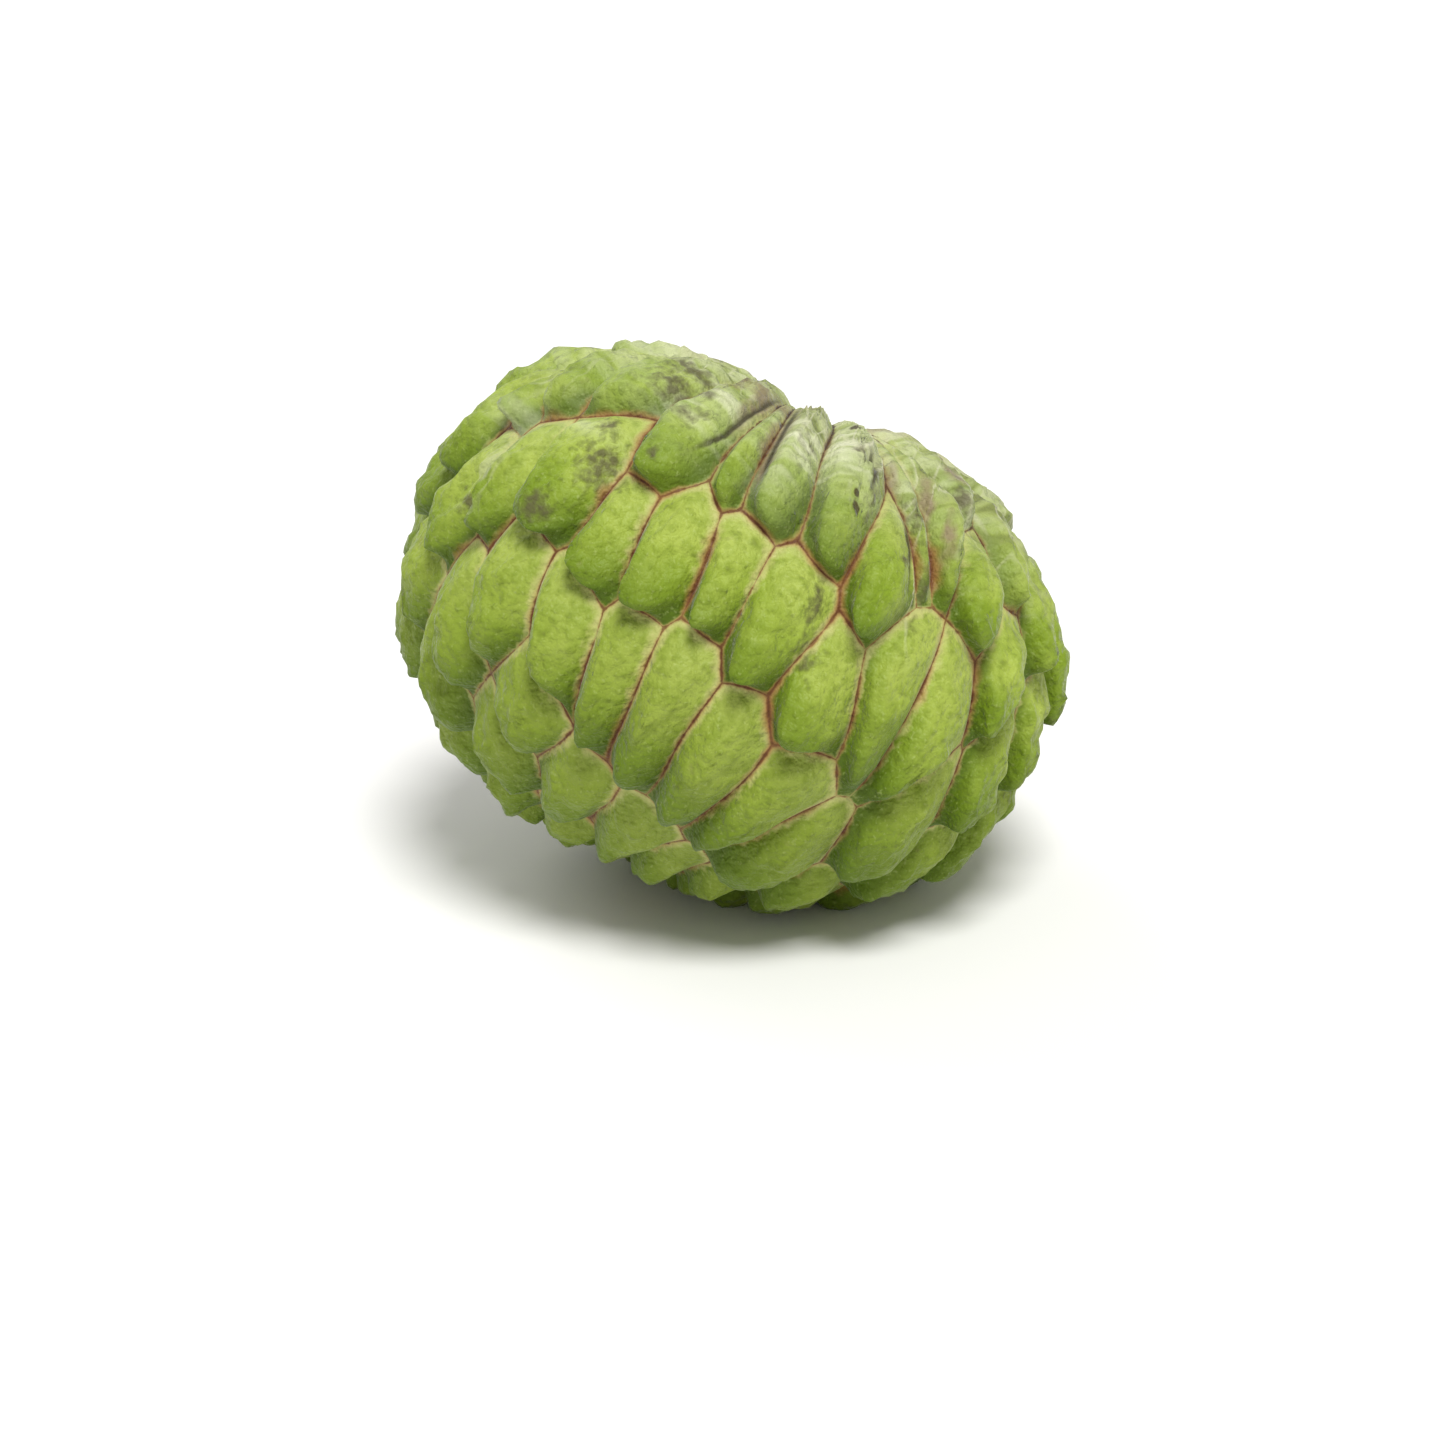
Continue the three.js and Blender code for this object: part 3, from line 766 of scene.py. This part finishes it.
def weathered_height(tree, given, net, inside, height):
    """Dents in the crowns, wrinkles across the scales, and ridges along them."""
    position = add(tree, "GeometryNodeInputPosition")
    density = add(tree, "ShaderNodeMath", {0: 1.0, 1: given["Dent Width"]}, operation="DIVIDE")
    dent = add(tree, "ShaderNodeTexNoise",
               {"Vector": position, "Scale": density, "Detail": 1.0, "Distortion": 0.3})
    dent = add(tree, "ShaderNodeMapRange", {"Value": dent, 1: 0.25, 2: 0.75})
    wrinkle, ridge = skin_patterns(
        tree, net.skin, given["Wrinkle Width (mm)"], given["Ridge Width (mm)"], RIDGE_LINE)
    wrinkles, ridges = weathering(tree, net)
    for pattern, level, depth, strength in (
        (dent, 0.5, "Dent Depth", net.crown),
        (wrinkle, 0.5, "Wrinkle Depth", wrinkles),
        (ridge, 0.0, "Ridge Height", ridges),
    ):
        bump = add(tree, "ShaderNodeMath", {0: pattern, 1: level}, operation="SUBTRACT")
        for factor in (given[depth], strength, inside):
            bump = add(tree, "ShaderNodeMath", {0: bump, 1: factor}, operation="MULTIPLY")
        height = add(tree, "ShaderNodeMath", {0: height, 1: bump}, operation="ADD")
    return height


def furrowed_height(tree, given, net, inside, height):
    """Furrows cut into the skin along their lines."""
    aside = add(tree, "ShaderNodeMath", {0: net.aside}, operation="ABSOLUTE")
    cut = add(tree, "ShaderNodeMapRange", {"Value": aside, 2: FURROW_WIDTH, 3: 1.0, 4: 0.0},
              interpolation_type="SMOOTHSTEP")
    for factor in (net.furrow, inside, given["Furrow Depth"]):
        cut = add(tree, "ShaderNodeMath", {0: cut, 1: factor}, operation="MULTIPLY")
    return add(tree, "ShaderNodeMath", {0: height, 1: cut}, operation="SUBTRACT")


def relief_tree(material):
    """Raises each scale from the net, with dents, wrinkles, furrows and flat resting spots."""
    tree = empty_relief_tree()
    given = tree.nodes.new("NodeGroupInput").outputs
    net = net_readings(tree)
    inside = add(tree, "ShaderNodeMapRange", {"Value": net.edge, 2: SEAM_CLEAR},
                 interpolation_type="SMOOTHSTEP")
    height = raised_height(tree, given, net)
    height = weathered_height(tree, given, net, inside, height)
    height = furrowed_height(tree, given, net, inside, height)
    push = add(tree, "ShaderNodeVectorMath", {0: net.out, "Scale": height}, operation="SCALE")

    # the crown leans over the seam at its tip side
    shift = add(tree, "ShaderNodeMath", {0: net.shift, 1: given["Overhang"]}, operation="MULTIPLY")
    shift = add(tree, "ShaderNodeVectorMath", {0: net.lean, "Scale": shift}, operation="SCALE")
    offset = add(tree, "ShaderNodeVectorMath", {0: push, 1: shift}, operation="ADD")
    raised = add(tree, "GeometryNodeSetPosition", {"Geometry": given["Geometry"], "Offset": offset})

    # the crowns that it rests on are pressed flat at height 0, and nothing moves in x or y
    position = add(tree, "GeometryNodeInputPosition")
    lowest = add(tree, "ShaderNodeVectorMath", {0: position, 1: (-1.0, -1.0, 0.0)}, operation="MAXIMUM")
    pressed = add(tree, "GeometryNodeSetPosition", {"Geometry": raised, "Position": lowest})
    smoothed = add(tree, "GeometryNodeSetShadeSmooth", {"Geometry": pressed})
    real = add(tree, "GeometryNodeRealizeInstances", {"Geometry": smoothed})
    finished = add(tree, "GeometryNodeSetMaterial", {"Geometry": real, "Material": material})
    end = tree.nodes.new("NodeGroupOutput")
    tree.links.new(finished, end.inputs[0])
    return tree


# ---- skin material -------------------------------------------------------------------------

def colour(code):
    """An sRGB hex colour as linear red, green, blue and alpha."""
    parts = [int(code[i:i + 2], 16) / 255 for i in (1, 3, 5)]
    return tuple(c / 12.92 if c <= 0.04045 else ((c + 0.055) / 1.055) ** 2.4 for c in parts) + (1.0,)


# Widths in millimetres of the patches in each random pattern, and how finely they break up.
PATTERNS = {
    "clouds": (7.0, 2.0),
    "mottle": (1.3, 3.0),
    "ragged": (1.4, 3.0),
    "rusty": (14.0, 1.0),
    "specks": (0.6, 2.0),
    "pebbles": (1.3, 2.0),
    "dust": (3.0, 3.0),
}

# Places where the skin turns from dry and pale at the stem to fresh and green.
DRY_PLACES = {"dry": 0.16, "fresh": 0.4}
PIT_DUST_PLACES = {"full": 0.1, "none": 0.22}
SCAR_PLACES = {"full": 0.045, "none": 0.075}

# Widths in millimetres. A line's two are its half widths, where it is plain and where it is rusty.
FLANK_WIDTHS = {"stem_side": 1.6, "tip_side": 0.6}
FRAY = 0.5
HALO_LINE = (0.55, 1.1)
CORE_LINE = (0.24, 0.42)
FURROW_SHADE_WIDTHS = {"dark": 0.12, "none": 0.5}
PEBBLE_HEIGHT = 0.7
PORE_DEPTH = 0.1
FINE_WRINKLE_HEIGHT = 0.3

RIND_READINGS = ("edge", "fall", "along", "place", "tint", "aside", "furrow", *MARKS)
SKIN_GREEN = "#87A022"


def rind_readings(tree):
    """What the skin knows of each point: its attributes, its random patterns and what they give."""
    rind = SimpleNamespace(**{
        name: add(tree, "ShaderNodeAttribute", out=2, attribute_name=name) for name in RIND_READINGS
    })
    where = add(tree, "ShaderNodeTexCoord", out=3)
    for name, (width, detail) in PATTERNS.items():
        setattr(rind, name, add(tree, "ShaderNodeTexNoise",
                                {"Vector": where, "Scale": 1 / (width * MM), "Detail": detail}))
    rind.skin = add(tree, "ShaderNodeAttribute", out=1, attribute_name="skin")
    rind.wrinkle, rind.ridge = skin_patterns(tree, rind.skin, WRINKLE_WIDTH, RIDGE_WIDTH, PALE_LINE)
    rind.near_stem = add(tree, "ShaderNodeMapRange",
                         {"Value": rind.place, 1: DRY_PLACES["dry"], 2: DRY_PLACES["fresh"],
                          3: 1.0, 4: 0.0},
                         interpolation_type="SMOOTHSTEP")
    rind.frayed = add(tree, "ShaderNodeMapRange",
                      {"Value": rind.ragged, 1: 0.25, 2: 0.75, 3: -FRAY, 4: FRAY})
    return rind


def green_layers(tree, rind):
    """Paler clouds and stem sides, deeper mottling and tip sides, and each scale its own tint. The
    paler stem sides are partly painted light, the deeper tip sides are partly painted shade, and the
    steep fall of each rounded tip is painted shade.
    """
    paler = add(tree, "ShaderNodeMapRange", {"Value": rind.clouds, 1: 0.38, 2: 0.62, 4: 0.8})
    # Paler on each scale's stem side: partly its own paler tone, partly painted light where that side
    # faces up.
    upper = add(tree, "ShaderNodeMapRange", {"Value": rind.along, 1: 0.05, 2: 0.6, 3: 0.7, 4: 0.0})
    own = add(tree, "ShaderNodeMapRange", {"Value": rind.tint, 4: 0.3})
    deeper = add(tree, "ShaderNodeMapRange", {"Value": rind.mottle, 1: 0.44, 2: 0.7, 4: 0.6})
    underside = add(tree, "ShaderNodeMapRange", {"Value": rind.place, 1: 0.45, 2: 0.7, 4: 0.6})
    # Darker at each scale's tip end, below the stem rows: a deeper green that is partly painted shade
    # where the end turns down.
    lower = add(tree, "ShaderNodeMapRange", {"Value": rind.along, 1: 0.4, 2: 0.9, 4: 0.95})
    below = add(tree, "ShaderNodeMapRange", {"Value": rind.place, 1: 0.34, 2: 0.48, 3: 0.15, 4: 1.0})
    lower = add(tree, "ShaderNodeMath", {0: lower, 1: below}, operation="MULTIPLY")
    # Painted shade on the steep fall of each rounded tip, under the bulge.
    painted_shade_on_tip_fall = add(tree, "ShaderNodeMapRange", {"Value": rind.fall, 1: 0.05, 2: 0.35, 4: 0.8})
    flat = add(tree, "ShaderNodeMapRange", {"Value": rind.fall, 1: 0.75, 2: 1.0, 4: 0.7})
    freckle = add(tree, "ShaderNodeMapRange", {"Value": rind.specks, 1: 0.6, 2: 0.72, 4: 0.22})
    return [
        (paler, "#A6B84A"), (upper, "#B0BB60"), (own, "#8FA236"), (deeper, "#73871C"),
        (underside, "#6A7E18"), (lower, "#4C6600"), (painted_shade_on_tip_fall, "#4A6004"), (flat, "#A3AB5C"),
        (freckle, "#B9C67C"),
    ]


def weathered_layers(tree, rind):
    """A pale wax on the wrinkle crests near the stem, partly painted highlight, and in weathered spots
    grey skin, painted shade in the wrinkle hollows and whitish ridge tops that are partly painted
    highlight.
    """
    # Pale wax, strongest on the wrinkle crests: partly real wax, partly painted highlight.
    wax_and_painted_highlight = add(tree, "ShaderNodeMapRange", {"Value": rind.wrinkle, 1: 0.2, 2: 0.75, 3: 0.3, 4: 0.9})
    powdered = add(tree, "ShaderNodeMath", {0: rind.near_stem, 1: 0.65}, operation="MULTIPLY")
    powdered = add(tree, "ShaderNodeMath", {0: powdered, 1: rind.powder}, operation="MAXIMUM")
    wax_and_painted_highlight = add(tree, "ShaderNodeMath", {0: wax_and_painted_highlight, 1: powdered}, operation="MULTIPLY")
    greyed = add(tree, "ShaderNodeMapRange", {"Value": rind.clouds, 1: 0.35, 2: 0.65, 3: 0.15, 4: 0.6})
    greyed = add(tree, "ShaderNodeMath", {0: greyed, 1: rind.wrinkled}, operation="MULTIPLY")
    # Painted shade in the hollows between the wrinkles.
    painted_shade_in_wrinkles = add(tree, "ShaderNodeMapRange", {"Value": rind.wrinkle, 1: 0.45, 2: 0.12, 4: 0.85})
    painted_shade_in_wrinkles = add(tree, "ShaderNodeMath", {0: painted_shade_in_wrinkles, 1: rind.wrinkled}, operation="MULTIPLY")
    # Whitish ridge tops: partly rubbed wax, partly painted highlight.
    ridge_wax_and_highlight = add(tree, "ShaderNodeMath", {0: rind.ridge, 1: rind.wrinkled}, operation="MULTIPLY")
    return [(wax_and_painted_highlight, "#E0E1C0"), (greyed, "#7C804E"), (painted_shade_in_wrinkles, "#5E6136"), (ridge_wax_and_highlight, "#CDCDAA")]


def patches(tree, mark, grain, amount):
    """A mark that is broken into specks and patches by a grain, and is densest in its middle."""
    spread = add(tree, "ShaderNodeMath", {0: grain, 1: amount}, operation="MULTIPLY")
    spread = add(tree, "ShaderNodeMath", {0: spread, 1: mark}, operation="ADD")
    middle = 0.5 * amount
    return add(tree, "ShaderNodeMapRange", {"Value": spread, 1: middle + 0.25, 2: middle + 0.9, 4: 0.8})


def scabs(tree, rind):
    """Scabs, with an outline that the pebbles make ragged."""
    nearest = 10.0
    for degrees, middle, width, length in SCABS:
        turn = math.radians(degrees)
        width *= EQUATOR_R / float(radius_at(middle))
        centre = (EQUATOR_R * math.sin(turn), -EQUATOR_R * math.cos(turn), middle * OUTLINE_LENGTH)
        gap = add(tree, "ShaderNodeVectorMath", {0: rind.skin, 1: centre}, operation="SUBTRACT")
        gap = add(tree, "ShaderNodeVectorMath", {0: gap, 1: (width, width, length)}, operation="DIVIDE")
        gap = add(tree, "ShaderNodeVectorMath", {0: gap}, out=1, operation="LENGTH")
        nearest = add(tree, "ShaderNodeMath", {0: gap, 1: nearest}, operation="MINIMUM")
    uneven = add(tree, "ShaderNodeMapRange", {"Value": rind.pebbles, 1: 0.2, 2: 0.8, 3: -0.5, 4: 0.5})
    uneven = add(tree, "ShaderNodeMath", {0: nearest, 1: uneven}, operation="ADD")
    return add(tree, "ShaderNodeMapRange", {"Value": uneven, 1: 0.7, 2: 1.2, 3: 0.9, 4: 0.0})


def mark_layers(tree, rind):
    """Soot, cork and scabs at their spots, and brown dust in the stem pit."""
    in_pit = add(tree, "ShaderNodeMapRange",
                 {"Value": rind.place, 1: PIT_DUST_PLACES["full"], 2: PIT_DUST_PLACES["none"],
                  3: 0.85, 4: 0.0},
                 interpolation_type="SMOOTHSTEP")
    patchy = add(tree, "ShaderNodeMapRange", {"Value": rind.dust, 1: 0.42, 2: 0.6})
    dusty = add(tree, "ShaderNodeMath", {0: in_pit, 1: patchy}, operation="MULTIPLY")
    return [
        (patches(tree, rind.soot, rind.mottle, 1.6), "#554D37"),
        (patches(tree, rind.cork, rind.dust, 1.4), "#8B7660"),
        (dusty, "#95806F"),
        (scabs(tree, rind), "#3F3117"),
    ]


def flank_layers(tree, rind):
    """Cream flanks beside the seams, widest at the stem side of a scale and away from the stem."""
    reach = add(tree, "ShaderNodeMapRange",
                {"Value": rind.along, 1: 0.1, 2: 0.7,
                 3: FLANK_WIDTHS["stem_side"], 4: FLANK_WIDTHS["tip_side"]})
    beside = add(tree, "ShaderNodeMath", {0: rind.edge, 1: rind.frayed}, operation="ADD")
    flank = add(tree, "ShaderNodeMapRange", {"Value": beside, 1: 0.2, 2: reach, 3: 0.8, 4: 0.0},
                interpolation_type="SMOOTHSTEP")
    far_from_stem = add(tree, "ShaderNodeMapRange", {"Value": rind.near_stem, 3: 1.0, 4: 0.25})
    stem_side = add(tree, "ShaderNodeMapRange", {"Value": rind.along, 1: 0.45, 2: 0.8, 3: 1.0, 4: 0.2})
    for factor in (far_from_stem, stem_side):
        flank = add(tree, "ShaderNodeMath", {0: flank, 1: factor}, operation="MULTIPLY")
    return [(flank, "#BDBB76")]


def seam_layers(tree, rind):
    """The brown line in the seams, dark near the stem, and broad and rusty in patches."""
    spread = add(tree, "ShaderNodeMapRange", {"Value": rind.rusty, 1: 0.54, 2: 0.7},
                 interpolation_type="SMOOTHSTEP")
    fresh = add(tree, "ShaderNodeMapRange", {"Value": rind.near_stem, 3: 1.0, 4: 0.0})
    rust = add(tree, "ShaderNodeMath", {0: spread, 1: fresh}, operation="MULTIPLY")
    rust = add(tree, "ShaderNodeMath", {0: rust, 1: rind.rust}, operation="MAXIMUM")
    away = add(tree, "ShaderNodeMath", {0: rind.frayed, 1: 0.3}, operation="MULTIPLY")
    away = add(tree, "ShaderNodeMath", {0: rind.edge, 1: away}, operation="ADD")
    swell = add(tree, "ShaderNodeMapRange", {"Value": rind.clouds, 1: 0.32, 2: 0.68, 3: 0.3, 4: 1.5})
    narrowed = add(tree, "ShaderNodeMapRange", {"Value": rind.near_stem, 3: 1.0, 4: 0.6})
    lines = []
    for plain, rusty in (HALO_LINE, CORE_LINE):
        half_width = add(tree, "ShaderNodeMapRange", {"Value": rust, 3: plain, 4: rusty})
        for factor in (swell, narrowed):
            half_width = add(tree, "ShaderNodeMath", {0: half_width, 1: factor}, operation="MULTIPLY")
        lines.append(add(tree, "ShaderNodeMapRange", {"Value": away, 2: half_width, 3: 1.0, 4: 0.0},
                         interpolation_type="SMOOTHSTEP"))
    halo = add(tree, "ShaderNodeMapRange", {"Value": rust, 3: 0.55, 4: 0.95})
    halo = add(tree, "ShaderNodeMath", {0: lines[0], 1: halo}, operation="MULTIPLY")
    core = add(tree, "ShaderNodeMapRange", {"Value": rind.clouds, 1: 0.35, 2: 0.6, 3: 0.6, 4: 1.0})
    core = add(tree, "ShaderNodeMath", {0: lines[1], 1: core}, operation="MULTIPLY")
    dark_line = add(tree, "ShaderNodeMath", {0: lines[0], 1: rind.near_stem}, operation="MULTIPLY")
    return [(halo, "#A0703F"), (core, "#62391C"), (dark_line, "#3E3428")]


def furrow_shade_and_scar_layers(tree, rind):
    """Painted shade along the bottom of each furrow, and the brown scar where the stalk was."""
    aside = add(tree, "ShaderNodeMath", {0: rind.aside}, operation="ABSOLUTE")
    # Painted shade in the narrow bottom of each furrow, darkest along its line.
    painted_furrow_shade = add(tree, "ShaderNodeMapRange",
               {"Value": aside, 1: FURROW_SHADE_WIDTHS["dark"], 2: FURROW_SHADE_WIDTHS["none"], 3: 0.9, 4: 0.0})
    painted_furrow_shade = add(tree, "ShaderNodeMath", {0: painted_furrow_shade, 1: rind.furrow}, operation="MULTIPLY")
    scar = add(tree, "ShaderNodeMapRange",
               {"Value": rind.place, 1: SCAR_PLACES["full"], 2: SCAR_PLACES["none"], 3: 1.0, 4: 0.0},
               interpolation_type="SMOOTHSTEP")
    return [(painted_furrow_shade, "#3F3A26"), (scar, "#6B5136")]


def rind_bumps(tree, rind):
    """Pebbles of 1.3 mm, pores of under a millimetre, and fine wrinkles near the stem."""
    pebbled = add(tree, "ShaderNodeBump", {"Distance": PEBBLE_HEIGHT * MM, "Height": rind.pebbles})
    porous = add(tree, "ShaderNodeBump",
                 {"Distance": PORE_DEPTH * MM, "Height": rind.specks, "Normal": pebbled})
    fine = add(tree, "ShaderNodeMath", {0: rind.wrinkle, 1: rind.near_stem}, operation="MULTIPLY")
    return add(tree, "ShaderNodeBump",
               {"Distance": FINE_WRINKLE_HEIGHT * MM, "Height": fine, "Normal": porous})


def waxy_annona_rind():
    """Annona rind, leathery and pebbled, with a thin wax: soft broad highlights, no hard gloss."""
    material = bpy.data.materials.new("waxy annona rind")
    material.use_nodes = True
    tree = material.node_tree
    tree.nodes.clear()
    rind = rind_readings(tree)
    skin_colour = colour(SKIN_GREEN)
    for layers in (green_layers, weathered_layers, mark_layers, flank_layers, seam_layers,
                   furrow_shade_and_scar_layers):
        for cover, code in layers(tree, rind):
            skin_colour = add(tree, "ShaderNodeMix", {0: cover, 6: skin_colour, 7: colour(code)},
                              out=2, data_type="RGBA")
    roughness = add(tree, "ShaderNodeMapRange",
                    {"Value": rind.mottle, 1: 0.3, 2: 0.7, 3: 0.48, 4: 0.66})
    shader = add(tree, "ShaderNodeBsdfPrincipled", {
        "Base Color": skin_colour,
        "Roughness": roughness,
        "IOR": 1.42,
        "Specular IOR Level": 0.32,
        "Sheen Weight": 0.14,
        "Sheen Roughness": 0.4,
        "Normal": rind_bumps(tree, rind),
    })
    end = tree.nodes.new("ShaderNodeOutputMaterial")
    tree.links.new(shader, end.inputs["Surface"])
    return material


# ---- the fruit -----------------------------------------------------------------------------

def make_fruit():
    """The finished fruit as one plain mesh, which stands for the CAD node."""
    fruit = make_net()
    bpy.context.scene.collection.objects.link(fruit)
    material = waxy_annona_rind()
    modifier = fruit.modifiers.new("raise fruit scales", "NODES")
    modifier.node_group = relief_tree(material)
    for item in modifier.node_group.interface.items_tree:
        if item.in_out == "INPUT" and item.name in RELIEF_INPUTS:
            modifier[item.identifier] = RELIEF_INPUTS[item.name]
    bpy.context.view_layer.update()
    evaluated = fruit.evaluated_get(bpy.context.evaluated_depsgraph_get())
    raised = bpy.data.meshes.new_from_object(evaluated)
    fruit.modifiers.clear()
    fruit.data = raised
    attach(fruit, "root")
    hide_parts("fruit")


# ---- camera, floor and light ---------------------------------------------------------------

# The camera looks along +Y from above, and sees the fruit a little right of and above centre.
CAMERA_ELEVATION = math.radians(20)
CAMERA_DISTANCE = 520
FRUIT_RIGHT_OF_CENTRE = 1.1
FRUIT_ABOVE_CENTRE = 14.3
IMAGE_PIXELS = 1445
PIXELS_PER_MM = 6.81
SENSOR = 36

FLOOR_HALF_WIDTH = 3.0
ROOM_STRENGTH = 0.42

# A broad window above and in front, and a weaker one behind on the left: where each light shines
# towards, its strength, and its width in degrees.
LIGHTS = {
    "window light": ((-0.1, 0.48, -0.86), 2.85, 22),
    "back light": ((0.5, -0.55, -0.6), 0.7, 40),
}


def add_camera():
    data = bpy.data.cameras.new("camera")
    data.sensor_width = SENSOR
    data.lens = SENSOR * PIXELS_PER_MM * CAMERA_DISTANCE / IMAGE_PIXELS
    data.clip_start = 0.01
    camera = bpy.data.objects.new("camera", data)
    turn = Euler((math.pi / 2 - CAMERA_ELEVATION, 0, 0))
    aim = Vector((-FRUIT_RIGHT_OF_CENTRE, -FRUIT_ABOVE_CENTRE, CAMERA_DISTANCE))
    aim.rotate(turn)
    camera.location = (BODY_CENTRE + aim) * MM
    camera.rotation_euler = turn
    bpy.context.scene.collection.objects.link(camera)
    bpy.context.scene.camera = camera


def add_floor():
    """A matt, pale studio floor, in metres, that the fruit rests on."""
    half = FLOOR_HALF_WIDTH
    mesh = bpy.data.meshes.new("floor")
    corners = [(-half, -half, 0), (half, -half, 0), (half, half, 0), (-half, half, 0)]
    mesh.from_pydata(corners, [], [(0, 1, 2, 3)])
    floor = bpy.data.objects.new("floor", mesh)
    material = bpy.data.materials.new("plain pale floor")
    material.use_nodes = True
    shader = material.node_tree.nodes["Principled BSDF"]
    shader.inputs["Base Color"].default_value = colour("#F4F3F1")
    shader.inputs["Roughness"].default_value = 0.8
    mesh.materials.append(material)
    bpy.context.scene.collection.objects.link(floor)


def add_sun(name, towards, strength, spread):
    """A broad, even light from one direction, like a large window far away."""
    data = bpy.data.lights.new(name, "SUN")
    data.energy = strength
    data.angle = math.radians(spread)
    light = bpy.data.objects.new(name, data)
    light.rotation_euler = Vector(towards).to_track_quat("-Z", "Y").to_euler()
    bpy.context.scene.collection.objects.link(light)


def add_world():
    world = bpy.data.worlds.new("soft white room")
    world.use_nodes = True
    background = world.node_tree.nodes["Background"]
    background.inputs["Color"].default_value = (1, 1, 1, 1)
    background.inputs["Strength"].default_value = ROOM_STRENGTH
    bpy.context.scene.world = world


bpy.context.scene.view_settings.view_transform = "Standard"
add_camera()
add_floor()
add_world()
for light_name, (towards, strength, spread) in LIGHTS.items():
    add_sun(light_name, towards, strength, spread)
make_fruit()
